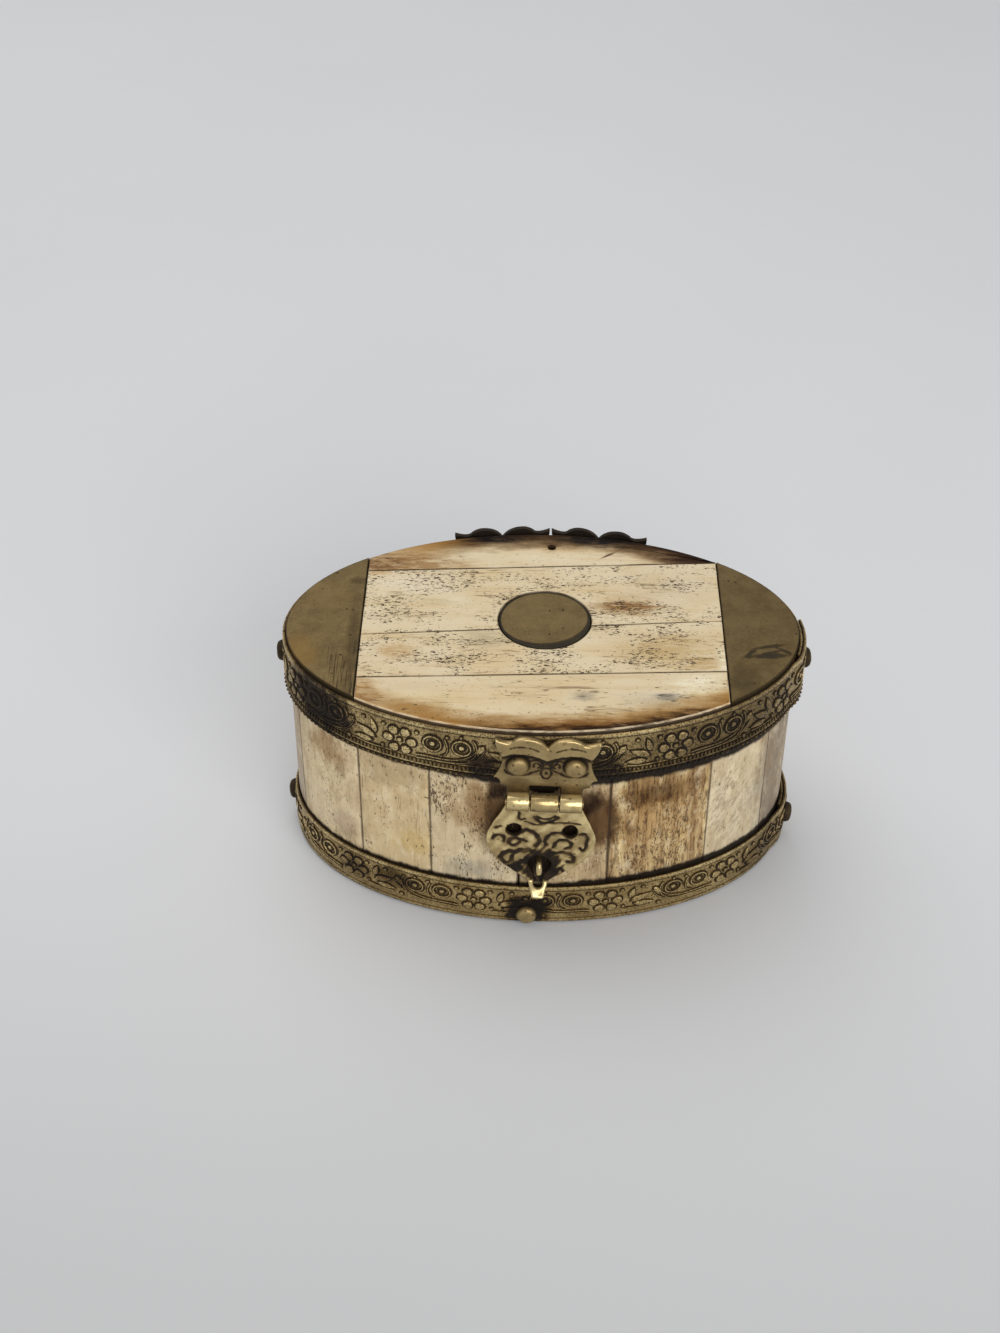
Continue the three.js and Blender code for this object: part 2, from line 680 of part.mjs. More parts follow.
// Bone planks between the end plates, parted by skewed seams and cut round the roundel
const chord = endPlateChord - seamGap / 2;
const rimAtChord = ovalDepth(lidCore, endPlateChord);
const seams = [
  { y: lidWidth, skew: 0 },
  { y: rimAtChord - rearPlankEnd, skew: rearSeamSkew },
  { y: middleSeamY, skew: middleSeamSkew },
  { y: frontPlankEnd - rimAtChord, skew: frontSeamSkew },
  { y: -lidWidth, skew: 0 },
];
const seamRise = (seam) => chord * Math.tan(THREE.MathUtils.degToRad(seam.skew));
const rimOptions = {
  depth: plankThickness,
  curveSegments: ovalSegments,
  bevelThickness: plankEdge,
  bevelSize: plankEdge,
  bevelOffset: -plankEdge,
  bevelSegments: 2,
};
const rimBottom = lidHeight - plankThickness - plankEdge;
const rimGeometry = new THREE.ExtrudeGeometry(ovalShape(lidCore), rimOptions);
const plankBlank = toSolid(rimGeometry.translate(0, 0, rimBottom));
const roundelHole = disc(roundelRadius + seamGap, plankBottom - glueGap, plankThickness + 2 * glueGap);
const foramenRadius = foramenDiameter / 2;
const drill = new THREE.CylinderGeometry(foramenRadius, foramenRadius, 2 * foramenDepth, shankSides);
const foramen = toSolid(drill.rotateX(Math.PI / 2).translate(foramenX, foramenY, lidHeight));
['plank_rear', 'plank_mid_rear', 'plank_mid_front', 'plank_front'].forEach((name, i) => {
  const [back, front] = [seams[i], seams[i + 1]];
  const strip = new THREE.Shape();
  strip.moveTo(-chord, front.y + seamGap / 2 - seamRise(front));
  strip.lineTo(chord, front.y + seamGap / 2 + seamRise(front));
  strip.lineTo(chord, back.y - seamGap / 2 + seamRise(back));
  strip.lineTo(-chord, back.y - seamGap / 2 - seamRise(back));
  const plank = plankBlank.intersect(raised(strip, plankBottom, plankThickness));
  addPiece(lid, name, cut(plank, [roundelHole, foramen]), bone);
});

export default root;
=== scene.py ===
import json
import math
import bpy
import numpy as np
from mathutils import Matrix, Vector
from mathutils.geometry import delaunay_2d_cdt


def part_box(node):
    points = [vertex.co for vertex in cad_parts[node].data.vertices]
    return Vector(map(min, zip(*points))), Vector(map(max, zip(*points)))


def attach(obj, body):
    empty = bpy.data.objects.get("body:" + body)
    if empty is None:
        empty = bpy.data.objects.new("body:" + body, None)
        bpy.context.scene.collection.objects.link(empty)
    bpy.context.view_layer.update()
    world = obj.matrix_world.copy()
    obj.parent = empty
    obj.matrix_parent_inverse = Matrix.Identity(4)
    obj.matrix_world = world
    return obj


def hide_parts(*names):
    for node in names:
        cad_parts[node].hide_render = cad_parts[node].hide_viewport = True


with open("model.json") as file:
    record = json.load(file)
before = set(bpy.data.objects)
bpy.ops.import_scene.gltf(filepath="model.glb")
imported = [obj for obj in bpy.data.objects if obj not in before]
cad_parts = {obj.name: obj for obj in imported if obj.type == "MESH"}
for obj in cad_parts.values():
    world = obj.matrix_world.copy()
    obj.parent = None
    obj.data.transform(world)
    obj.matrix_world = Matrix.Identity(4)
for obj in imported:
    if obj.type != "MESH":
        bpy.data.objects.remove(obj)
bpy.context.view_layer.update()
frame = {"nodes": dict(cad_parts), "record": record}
scene = bpy.context.scene
scene.view_settings.view_transform = "Standard"
mm = 0.001  # in metres
perMetre = 1000  # mm
print("frame loaded:", len(frame["nodes"]), "nodes")


# Nodes, for shader and geometry trees alike

class Value:
    # a node's output: sums written with it become Math nodes of the same tree
    def __init__(self, socket):
        self.socket, self.tree = socket, socket.id_data

    def also(self, output):
        return Value(self.socket.node.outputs[output])

    def __add__(self, other):
        return maths("ADD", self, other)

    def __sub__(self, other):
        return maths("SUBTRACT", self, other)

    def __rsub__(self, other):
        return maths("SUBTRACT", other, self)

    def __mul__(self, other):
        return maths("MULTIPLY", self, other)

    def __truediv__(self, other):
        return maths("DIVIDE", self, other)

    def __pow__(self, other):
        return maths("POWER", self, other)

    def __lt__(self, other):
        return maths("LESS_THAN", self, other)

    def __gt__(self, other):
        return maths("GREATER_THAN", self, other)


def feed(node, values):
    # a Value is linked, a list of them in its order, and anything else is set
    for key, value in values.items():
        socket = node.inputs[key]
        if isinstance(value, (Value, list)):
            for one in value if isinstance(value, list) else [value]:
                node.id_data.links.new(one.socket, socket)
        else:
            socket.default_value = value


def put(tree, kind, values, output=0, **settings):
    node = tree.nodes.new(kind)
    for key, value in settings.items():
        setattr(node, key, value)
    feed(node, values)
    return Value(node.outputs[output])


def maths(operation, first, second=None, clamp=False):
    known = first if isinstance(first, Value) else second
    values = {0: first} if second is None else {0: first, 1: second}
    if known.socket.type == "VECTOR":
        return put(known.tree, "ShaderNodeVectorMath", values, operation=operation)
    return put(known.tree, "ShaderNodeMath", values, operation=operation, use_clamp=clamp)


def ease(value, low, high, start=0.0, end=1.0):
    values = {"Value": value, "From Min": low, "From Max": high, "To Min": start, "To Max": end}
    return put(value.tree, "ShaderNodeMapRange", values, interpolation_type="SMOOTHSTEP")


def blend(share, first, second, mode="MIX"):
    first, second = (end if isinstance(end, Value) else (*end, 1) for end in (first, second))
    values = {0: share, 6: first, 7: second}
    return put(share.tree, "ShaderNodeMix", values, 2, data_type="RGBA", blend_type=mode)


def noise(vector, scale, detail=3.0, rough=0.55, distort=0.0):
    values = {"Vector": vector, "Scale": scale, "Detail": detail, "Roughness": rough, "Distortion": distort}
    return put(vector.tree, "ShaderNodeTexNoise", values, "Fac")


def cells(vector, scale=1.0, random=1.0):
    # distance from the middle of a cell
    values = {"Vector": vector, "Scale": scale, "Randomness": random}
    return put(vector.tree, "ShaderNodeTexVoronoi", values, "Distance")


def picksOf(far):
    # three random values for each cell
    red = put(far.tree, "ShaderNodeSeparateColor", {0: far.also("Color")})
    return red, red.also(1), red.also(2)


def split(vector):
    x = put(vector.tree, "ShaderNodeSeparateXYZ", {0: vector})
    return x, x.also(1), x.also(2)


def startGroup(name, kind, inputs, outputs):
    # an input is given by its default, or by its kind where it has none
    kinds = {float: "Float", int: "Int", tuple: "Vector"}
    tree = bpy.data.node_groups.new(name, kind + "NodeTree")
    for label, default in inputs.items():
        bare = isinstance(default, str)
        socket = "NodeSocket" + (default if bare else kinds[type(default)])
        made = tree.interface.new_socket(name=label, in_out="INPUT", socket_type=socket)
        if not bare:
            made.default_value = default
    socket = "NodeSocketFloat" if kind == "Shader" else "NodeSocketGeometry"
    for label in outputs:
        tree.interface.new_socket(name=label, in_out="OUTPUT", socket_type=socket)
    given = {socket.name: Value(socket) for socket in tree.nodes.new("NodeGroupInput").outputs}
    return tree, given, tree.nodes.new("NodeGroupOutput")


def useGroup(group, values):
    node = put(values["Vector"].tree, "ShaderNodeGroup", values, node_tree=group).socket.node
    return {socket.name: Value(socket) for socket in node.outputs}


# Shared shader effects, all in millimetres

toMm = (perMetre, perMetre, perMetre)


def makeBoneGrain():
    # grain runs along X of the vector that comes in
    tree, given, out = startGroup(
        "boneGrain", "Shader", {"Vector": "Vector", "Seed": 0.0, "Pores": 0.5, "Pore Size": 0.3},
        ["Pores", "Streaks", "Clouds", "Scratches", "Cracks", "Fibres", "Height"])
    seed = given["Seed"]
    place = given["Vector"] * toMm + put(tree, "ShaderNodeCombineXYZ", {0: seed, 1: seed, 2: seed})
    ragged = noise(place, 3.4, 2)
    sway = noise(place, 0.5, 2) * 0.9 + ragged * 0.3
    swayed = place + put(tree, "ShaderNodeCombineXYZ", {0: ragged, 1: sway, 2: sway})
    along = swayed * (0.95, 2.5, 2.5)
    crowd = noise(place * (0.1, 0.24, 0.24), 1.0, 4, 0.6)
    chance = ease(crowd, 0.4, 0.6) * given["Pores"]
    far = cells(along)
    picks = picksOf(far)
    dot = ease(far / (given["Pore Size"] * (picks[1] ** 2.0 + 0.5)), 1.0, 0.5)
    large = dot * (picks[0] < chance * 0.5)
    far = cells(along * (1.6, 1.6, 1.6))
    small = ease(far, 0.36, 0.16) * (picksOf(far)[1] < chance * 0.7)
    torn = noise(swayed * (1.0, 2.9, 2.9), 1.0, 2, 0.6)
    specks = ease(torn - (0.7 - chance * 0.18), 0.0, 0.02)
    pores = maths("MAXIMUM", maths("MAXIMUM", specks, large * 0.85), small * 0.75)
    clouds = noise(place * (0.07, 0.13, 0.13), 1.0, 4, 0.6)
    hair = noise(place * (0.16, 4.5, 4.5), 1.0, 2)
    ridge = noise(place * (0.03, 0.42, 0.42), 1.0, 3, 0.5)
    thin = ease(maths("ABSOLUTE", ridge - 0.5), 0.013, 0.003)
    feed(out, {
        "Pores": pores,
        "Streaks": noise(place * (0.035, 0.6, 0.6), 1.0, 5, 0.6),
        "Clouds": clouds,
        "Scratches": hair,
        "Cracks": thin * ease(clouds, 0.5, 0.6),
        "Fibres": ease(noise(place * (0.32, 1.9, 1.9), 1.0, 4, 0.65), 0.51, 0.6),
        "Height": hair * 0.25 - pores})
    return tree


def makeOvalEdge():
    # 0 in the middle of the lid, 1 on its rim
    tree, given, out = startGroup("ovalEdge", "Shader", {
        "Vector": "Vector", "Half Length": 0.05, "Half Width": 0.031, "Reach": 0.14, "Ragged": 0.1}, ["Edge"])
    x, y, _ = split(given["Vector"])
    far = maths("SQRT", (maths("ABSOLUTE", x) / given["Half Length"]) ** 2.0
                + (maths("ABSOLUTE", y) / given["Half Width"]) ** 2.0)
    rough = noise(given["Vector"] * (130, 420, 420), 1.0, 5, 0.65)
    feed(out, {"Edge": ease(far + (rough - 0.5) * given["Ragged"], 1.0 - given["Reach"], 1.0)})
    return tree


def makeTarnish():
    # cloudy ageing of brass, with brush lines along Y
    tree, given, out = startGroup("tarnish", "Shader", {
        "Vector": "Vector", "Polish": 0.6, "Clouding": 0.3, "Brushing": 0.0, "Specks": 0.3, "Stipple": 0.0},
        ["Bright", "Height", "Cloud"])
    place = given["Vector"] * toMm
    cloud = noise(place, 0.22, 5, 0.62)
    fine = noise(place, 1.9, 3, 0.6)
    far = cells(place, 0.75)
    speck = ease(far, 0.28, 0.08) * (picksOf(far)[0] < given["Specks"])
    brush = noise(place * (3.2, 0.11, 0.5), 1.0, 3, 0.6)
    lines = ease(brush, 0.5, 0.72) * given["Brushing"]
    dots = ease(cells(place, 2.3, 0.8), 0.5, 0.2)
    bright = given["Polish"] + (cloud - 0.5) * given["Clouding"] + (fine - 0.5) * 0.16
    bright = bright - lines * 0.35 - dots * given["Stipple"]
    bright = maths("SUBTRACT", bright, speck * 0.3, clamp=True)
    feed(out, {"Bright": bright, "Height": fine - (speck + lines), "Cloud": cloud})
    return tree


boneGrain = makeBoneGrain()
ovalEdge = makeOvalEdge()
tarnish = makeTarnish()


# Materials

def startMaterial(name, specular=0.22):
    material = bpy.data.materials.new(name)
    material.use_nodes = True
    tree = material.node_tree
    tree.nodes.clear()
    shader = tree.nodes.new("ShaderNodeBsdfPrincipled")
    feed(shader, {"Specular IOR Level": specular})
    feed(tree.nodes.new("ShaderNodeOutputMaterial"), {0: Value(shader.outputs[0])})
    return material, shader, put(tree, "ShaderNodeTexCoord", {}, "Object")


def attribute(place, name, output="Fac"):
    return put(place.tree, "ShaderNodeAttribute", {}, output, attribute_name=name)


def bump(height, strength, distance):
    return put(height.tree, "ShaderNodeBump", {"Height": height, "Strength": strength, "Distance": distance})


def turnedPlace(place, centre, size, spin):
    # the point seen from a centre, turned, and measured in sizes
    values = {"Vector": place, "Location": centre, "Rotation": spin, "Scale": size}
    return put(place.tree, "ShaderNodeMapping", values, vector_type="TEXTURE")


def stainMask(place, plane, middle, size, strength, ragged, turn=0.0):
    # soft patch, in mm on two axes, with a ragged edge
    endless = 1000
    centre, half, spin = [0, 0, 0], [endless] * 3, [0, 0, 0]
    for axis, at, reach in zip(plane, middle, size):
        i = "xyz".index(axis)
        centre[i], half[i] = at * mm, reach * mm
    spin[half.index(endless)] = math.radians(turn)
    seen = turnedPlace(place, tuple(centre), tuple(half), tuple(spin))
    far = put(place.tree, "ShaderNodeVectorMath", {0: seen}, "Value", operation="LENGTH")
    return ease(far + ragged, 1.0, 0.3, 0.0, strength)


def soak(mask, colour, stain):
    # deepens the bone under it like dye, in two coats
    bareBone = (0.6, 0.47, 0.29)
    coat = tuple(math.sqrt(s / b) for s, b in zip(stain, bareBone))
    for _ in range(2):
        colour = blend(mask, colour, coat, "MULTIPLY")
    return colour


brassRamp = {  # polish to colour, from grimed recess to bare metal; low polish also carries painted shade
    0.0: (0.012, 0.008, 0.005),
    0.22: (0.036, 0.023, 0.012),
    0.45: (0.119, 0.081, 0.035),
    0.68: (0.243, 0.172, 0.076),
    0.86: (0.435, 0.325, 0.152),
    1.0: (0.73, 0.59, 0.3),
}
verdigris = (0.16, 0.145, 0.06)


def brassMaterial(name, look):
    material, shader, place = startMaterial(name)
    # this attribute holds polish, and in places painted shade set on the meshes
    polish = attribute(place, "polish")
    if "shade" in look:
        polish = polish * attribute(place, look["shade"])
    if look["stains"]:
        ragged = (noise(place * toMm, 0.55, 4, 0.6) - 0.5) * 1.1
        near = ease(split(place)[1], -0.004, -0.016) if look["plane"] == "xz" else 1.0  # only on the front
        for middle, size, strength, *turn in look["stains"]:
            mask = stainMask(place, look["plane"], middle, size, strength, ragged, *turn)
            polish = polish - mask * near
    brushing = stainMask(place, look["plane"], *look["brushed"], ragged) if "brushed" in look else 0.0
    aged = useGroup(tarnish, {
        "Vector": place, "Polish": polish, "Clouding": look["clouding"], "Brushing": brushing,
        "Specks": look["specks"], "Stipple": look["stipple"]})
    ramp = put(place.tree, "ShaderNodeValToRGB", {0: aged["Bright"]})
    stops = ramp.socket.node.color_ramp.elements
    while len(stops) < len(brassRamp):
        stops.new(0.5)
    for stop, (where, colour) in zip(stops, brassRamp.items()):
        stop.position = where
        stop.color = (*colour, 1)
    colour = blend(aged["Cloud"] * look["green"], ramp, verdigris)
    clean = ease(aged["Bright"], 0.1, 0.45)
    for middle, size, strength, tint in look["tints"]:
        mask = stainMask(place, look["plane"], middle, size, strength, ragged)
        colour = blend(mask * clean, colour, tint)
    feed(shader, {
        "Base Color": colour,
        "Roughness": ease(aged["Bright"], 0.0, 0.9, *look["rough"]),
        "Metallic": ease(aged["Bright"], 0.05, 0.35, 0.25, look["metal"]),
        "Normal": bump(aged["Height"], look["bump"], 0.00006)})
    return material


# a stain has its middle and size in mm on the plane, its strength and, where it slants, its turn in degrees
plainBrass = {"stipple": 0.0, "green": 0.0, "plane": "xz", "stains": [], "tints": []}
bandBrass = brassMaterial("bandBrass", {
    **plainBrass, "clouding": 0.5, "specks": 0.25, "stipple": 0.36, "metal": 0.85, "rough": (0.7, 0.42),
    "bump": 0.5,
    "tints": [((0, 5), (60, 8), 0.3, (0.28, 0.17, 0.05))],
    "stains": [
        # the first three darken the band round the hasp leaf: painted shadow of the leaf, with tarnish
        ((0.7, 44.6), (12, 7), 0.4), ((-11, 41.5), (4.5, 5), 0.6), ((12.4, 41), (4.5, 5), 0.6),
        ((-42.5, 45), (9, 9), 0.66), ((-2.2, 3.6), (5.6, 5.2), 1.3), ((22, 39), (18, 1.8), 0.3),
        ((36, 44), (24, 9), 0.26), ((-29, 6.6), (5, 3.6), 0.5), ((-37, 5.4), (4.4, 4), 0.34),
        ((46, 5), (10, 7), 0.22)]})
inlayBrass = brassMaterial("inlayBrass", {
    **plainBrass, "clouding": 0.3, "specks": 0.1, "green": 0.14, "metal": 0.9, "rough": (0.65, 0.42),
    "bump": 0.2, "plane": "xy", "brushed": ((-36.5, -16), (7, 13), 1.0),
    "tints": [((-46.5, -9), (5, 8), 0.5, (0.21, 0.125, 0.035)), ((-42, 9), (7, 7), 0.3, (0.19, 0.125, 0.05))],
    "stains": [
        ((43.4, -8.2), (5.2, 1.0), 0.4, 4), ((43.6, -5.4), (4.6, 0.7), 0.3, 12),
        ((40.2, -7.2), (2.2, 0.7), 0.3, 48), ((46.6, -6.6), (2.4, 0.7), 0.3, -36),
        ((44.4, -7.0), (3.4, 0.5), 0.24, 16),
        ((-37, 14), (2.5, 1.5), 0.12), ((38.5, -16), (4, 7), 0.1), ((-36.6, -6), (1.8, 20), 0.12)]})
stampedBrass = brassMaterial("stampedBrass", {
    **plainBrass, "clouding": 0.44, "specks": 0.42, "metal": 0.72, "rough": (0.7, 0.23), "bump": 0.3})
nailBrass = brassMaterial("nailBrass", {
    **plainBrass, "clouding": 0.4, "specks": 0.35, "stipple": 0.08, "green": 0.05, "metal": 0.75,
    "rough": (0.7, 0.42), "bump": 0.6, "shade": "nailShade"})


def stretchMask(x, span, fadeIn, fadeOut):
    left, right = (end * mm for end in span)
    return ease(x, left, left + fadeIn) * ease(x, right, right - fadeOut)


def plankMaterial(name, look):
    material, shader, place = startMaterial(name, 0.14)
    x, y, z = split(place)
    grain = useGroup(boneGrain, {
        "Vector": place, "Seed": look["seed"], "Pores": look["pores"], "Pore Size": look["poreSize"]})
    colour = blend(ease(grain["Clouds"], 0.35, 0.72), look["pale"], look["warm"])
    colour = blend(ease(grain["Streaks"], 0.48, 0.78) * look["streaks"], colour, look["streak"])
    edge = useGroup(ovalEdge, {
        "Vector": place, "Half Length": 0.05, "Half Width": 0.031, "Reach": look["scorchReach"],
        "Ragged": 0.2})["Edge"]
    burn = edge * stretchMask(x, look["scorchSpan"], 0.014, 0.006) * look["scorch"]
    colour = soak(burn ** 0.7, colour, look["burnt"])
    char = edge ** look["charFall"] * stretchMask(x, look["charSpan"], 0.012, 0.008)
    colour = blend(char * look["scorch"], colour, look["char"])
    wisps = noise(place * (260, 1100, 1100), 1.0, 4, 0.65)
    ragged = (grain["Streaks"] - 0.5) * 1.8 + (wisps - 0.5) * 1.5
    for middle, size, strength, stain, *turn in look["stains"]:  # where the bone is darkest or palest
        mask = stainMask(place, "xy", middle, size, strength, ragged, *turn)
        mask = mask * ease(wisps, 0.4, 0.56, 0.35, 1.05)
        colour = soak(maths("MINIMUM", mask, 1.0), colour, stain)
    colour = blend(grain["Cracks"] * 0.7, colour, look["crack"])
    colour = blend(grain["Pores"] * 0.96, colour, look["pore"])
    seam = ease(attribute(place, "polish"), 0.8, 0.2, 0.0, 0.9)
    colour = blend(seam * ease(grain["Clouds"], 0.35, 0.6, 0.4, 1.0), colour, look["seam"])
    bare = ease(z, *look["wearAndHighlightLevel"]) * ease(y, *look["wearAndHighlightFront"]) * ease(wisps, 0.35, 0.6, 0.2, 0.8)
    colour = blend(bare, colour, look["worn"])  # pale along the front rim: painted highlight, with wear
    colour = blend(ease(z, *look["dirtAndShadeLevel"], 0.0, 0.9), colour, look["dirt"])  # darker just over the band: painted shade, with dirt
    feed(shader, {
        "Base Color": colour,
        "Roughness": maths("MAXIMUM", ease(grain["Scratches"], 0.3, 0.7, 0.38, 0.54), burn * 0.9),
        "Normal": bump(grain["Height"], 0.35, 0.00008)})
    return material


def slatMaterial(name, look):
    material, shader, place = startMaterial(name, 0.14)
    x, y, z = split(place)
    brown, pores, grey = split(attribute(place, "slatMarks", "Vector"))
    turned = put(place.tree, "ShaderNodeMapping", {"Vector": place, "Rotation": (0, math.radians(90), 0)})
    grain = useGroup(boneGrain, {
        "Vector": turned, "Seed": attribute(place, "slatSeed"), "Pores": pores,
        "Pore Size": look["poreSize"]})
    tone = attribute(place, "slatTone", "Color")
    colour = blend(ease(grain["Clouds"], 0.3, 0.75, 0.0, 0.75), tone, look["warm"])
    colour = blend(ease(grain["Streaks"], 0.36, 0.66) * brown, colour, look["brown"])
    colour = blend(grain["Fibres"] * brown * 0.8, colour, look["fibre"])
    colour = blend(ease(grain["Clouds"], 0.5, 0.68) * grey, colour, look["grey"])
    spots = noise(place * (420, 420, 240), 1.0, 5, 0.66)
    colour = blend(ease(spots, 0.5, 0.7, 0.0, look["mottle"]), colour, look["tan"])
    colour = blend(ease(spots, 0.5, 0.32, 0.0, look["mottle"]), colour, look["cream"])
    loose = noise(place * (300, 300, 120), 1.0, 5, 0.65) - 0.5
    ragged = loose * 1.5 + (noise(place * (900, 900, 520), 1.0, 3, 0.6) - 0.5) * 0.9
    front = ease(y, -0.004, -0.012)
    for middle, size, strength, stain, *calm in look["stains"]:  # a calm stain has a smoother edge
        mask = stainMask(place, "xz", middle, size, strength, ragged * (calm[0] if calm else 1.0))
        colour = soak(mask * front, colour, stain)
    for middle, size in look["hidden"]:  # painted shade, with grime, behind the holes of the hasp
        mask = stainMask(place, "xz", middle, size, 2.2, ragged * 0.5)
        colour = blend(maths("MINIMUM", mask, 1.0) * front, colour, look["soot"])
    slant = turnedPlace(place, (0, 0, 0), (0.0008, 0.0008, 0.005), (0, math.radians(36), 0))
    scrape = ease(noise(slant, 1.0, 4, 0.6), 0.47, 0.62)
    for middle, size, strength, stain in look["scraped"]:  # slanting saw marks
        mask = stainMask(place, "xz", middle, size, strength, 0.0) * front
        colour = blend(mask * scrape, colour, stain)
    colour = blend(grain["Cracks"] * 0.55, colour, look["crack"])
    colour = blend(grain["Pores"] * 0.85, colour, look["pore"])
    seam = ease(attribute(place, "slatSide") - loose * 0.5, 0.5, 0.12)
    colour = blend(seam * 0.85, colour, look["seam"])
    # dark lines at the foot and head of the slats, by the bands: painted shadow in the gaps, with grime
    level = z + ragged * look["grimeAndShadowRagged"]
    more = ease(x, *look["footRight"])  # more painted shade and grime along the right of the foot
    foot = ease(level - more, *look["footShadeAndGrime"])
    head = ease(level + ease(x, *look["headRight"]), *look["headShadowAndGrime"])
    head = head * ease(z, *look["topLevel"], 1.0, 0.3)  # less of it on the tops
    colour = blend(maths("MAXIMUM", foot, head) * 0.98, colour, look["grimeAndShadow"])
    feed(shader, {
        "Base Color": colour,
        "Roughness": ease(grain["Scratches"], 0.3, 0.7, 0.38, 0.55),
        "Normal": bump(grain["Height"], 0.4, 0.0001)})
    return material


def woodMaterial(name, look):
    material, shader, place = startMaterial(name)
    inMm = place * toMm
    rings = noise(inMm * (0.03, 0.7, 0.7), 1.0, 6, 0.62, 0.5)
    fibre = noise(inMm * (0.15, 5.0, 5.0), 1.0, 2)
    colour = blend(ease(rings, 0.35, 0.68), look["light"], look["dark"])
    flush = ease(noise(inMm * (0.02, 0.12, 0.12), 1.0, 3), 0.45, 0.75, 0.0, 0.6)
    colour = blend(flush, colour, look["red"])
    colour = blend(ease(fibre, 0.58, 0.72, 0.0, 0.6), colour, look["pore"])
    feed(shader, {
        "Base Color": colour,
        "Roughness": ease(fibre, 0.3, 0.7, 0.5, 0.72),
        "Normal": bump(rings - fibre, 0.35, 0.00012)})
    return material


carcassWood = woodMaterial("carcassWood", {
    "light": (0.19, 0.094, 0.042), "dark": (0.072, 0.032, 0.014), "red": (0.13, 0.05, 0.022),
    "pore": (0.022, 0.011, 0.006)})
print("materials made")


# Mesh helpers, in millimetres

def softShade(mesh, sharp):
    mesh.shade_smooth()
    mesh.set_sharp_from_angle(angle=math.radians(sharp))


def meshPiece(name, verts, faces, material=None, sharp=40, edges=(), **attributes):
    kinds = {1: ("FLOAT", "value"), 3: ("FLOAT_VECTOR", "vector"), 4: ("FLOAT_COLOR", "color")}
    mesh = bpy.data.meshes.new(name)
    mesh.from_pydata((np.asarray(verts, float) * mm).tolist(), list(edges), faces)
    for label, values in attributes.items():
        values = np.asarray(values, float).reshape(len(verts), -1)
        kind, field = kinds[values.shape[1]]
        mesh.attributes.new(label, kind, "POINT").data.foreach_set(field, values.ravel())
    if faces:
        softShade(mesh, sharp)
    if material:
        mesh.materials.append(material)
    piece = bpy.data.objects.new(name, mesh)
    scene.collection.objects.link(piece)
    return piece


def finishPiece(piece, body, slot, *nodes):
    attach(piece, body)
    if nodes:
        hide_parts(*nodes)
    print(" ", piece.name, len(piece.data.polygons), "faces for", len(nodes), "nodes")


def settle(piece, sharp):
    # evaluated result becomes the plain mesh and the modifiers go
    graph = bpy.context.evaluated_depsgraph_get()
    made = piece.evaluated_get(graph)
    mesh = bpy.data.meshes.new_from_object(made, preserve_all_data_layers=True, depsgraph=graph)
    piece.modifiers.clear()
    old = piece.data
    piece.data = mesh
    bpy.data.meshes.remove(old)
    mesh.name = piece.name
    softShade(mesh, sharp)


def setTree(piece, tree, values):
    modifier = piece.modifiers.new(tree.name, "NODES")
    modifier.node_group = tree
    for item in tree.interface.items_tree:
        if item.item_type == "SOCKET" and item.in_out == "INPUT" and item.name in values:
            modifier[item.identifier] = values[item.name]


def endTree(out, made, material):
    real = put(made.tree, "GeometryNodeRealizeInstances", {0: made})
    feed(out, {0: put(made.tree, "GeometryNodeSetMaterial", {"Geometry": real, "Material": material})})


def drop(*pieces):
    for piece in pieces:
        bpy.data.objects.remove(piece)


def nodeVerts(node):
    made = frame["nodes"][node]
    flat = np.empty(len(made.data.vertices) * 3)
    made.data.vertices.foreach_get("co", flat)
    turn = np.array(made.matrix_world)
    return (flat.reshape(-1, 3) @ turn[:3, :3].T + turn[:3, 3]) * perMetre


def boxOf(node):
    return [np.array(corner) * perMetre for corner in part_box(node)]


def turnsOf(count):
    return np.linspace(0, 2 * math.pi, count, endpoint=False)


def ovalAt(a, b, angle):
    return np.stack([a * np.cos(angle), b * np.sin(angle)], -1)


def disc(x, y, radius, count=10):
    return ovalAt(radius, radius, turnsOf(count)) + (x, y)


def smooth(value, low, high):
    t = np.clip((np.asarray(value, float) - low) / (high - low), 0, 1)
    return t * t * (3 - 2 * t)


def runOf(points):
    # length along a path, at each of its points
    return np.concatenate([[0], np.cumsum(np.linalg.norm(np.diff(points, axis=0), axis=1))])


def numberRows(tall, count, start=0):
    return [list(range(start + row * count, start + (row + 1) * count)) for row in range(tall)]


def rowFaces(rows, close=True, over=False):
    # close joins the ends of each row, over joins the last row to the first; a pole is one number repeated
    faces = []
    for low, high in zip(rows, rows[1:] + rows[:1] if over else rows[1:]):
        for i in range(len(low) if close else len(low) - 1):
            j = (i + 1) % len(low)
            faces.append(tuple(dict.fromkeys((low[i], low[j], high[j], high[i]))))
    return faces


# Embossed bands: one flat unit of flower, rings and leaves, repeated and wrapped round the oval

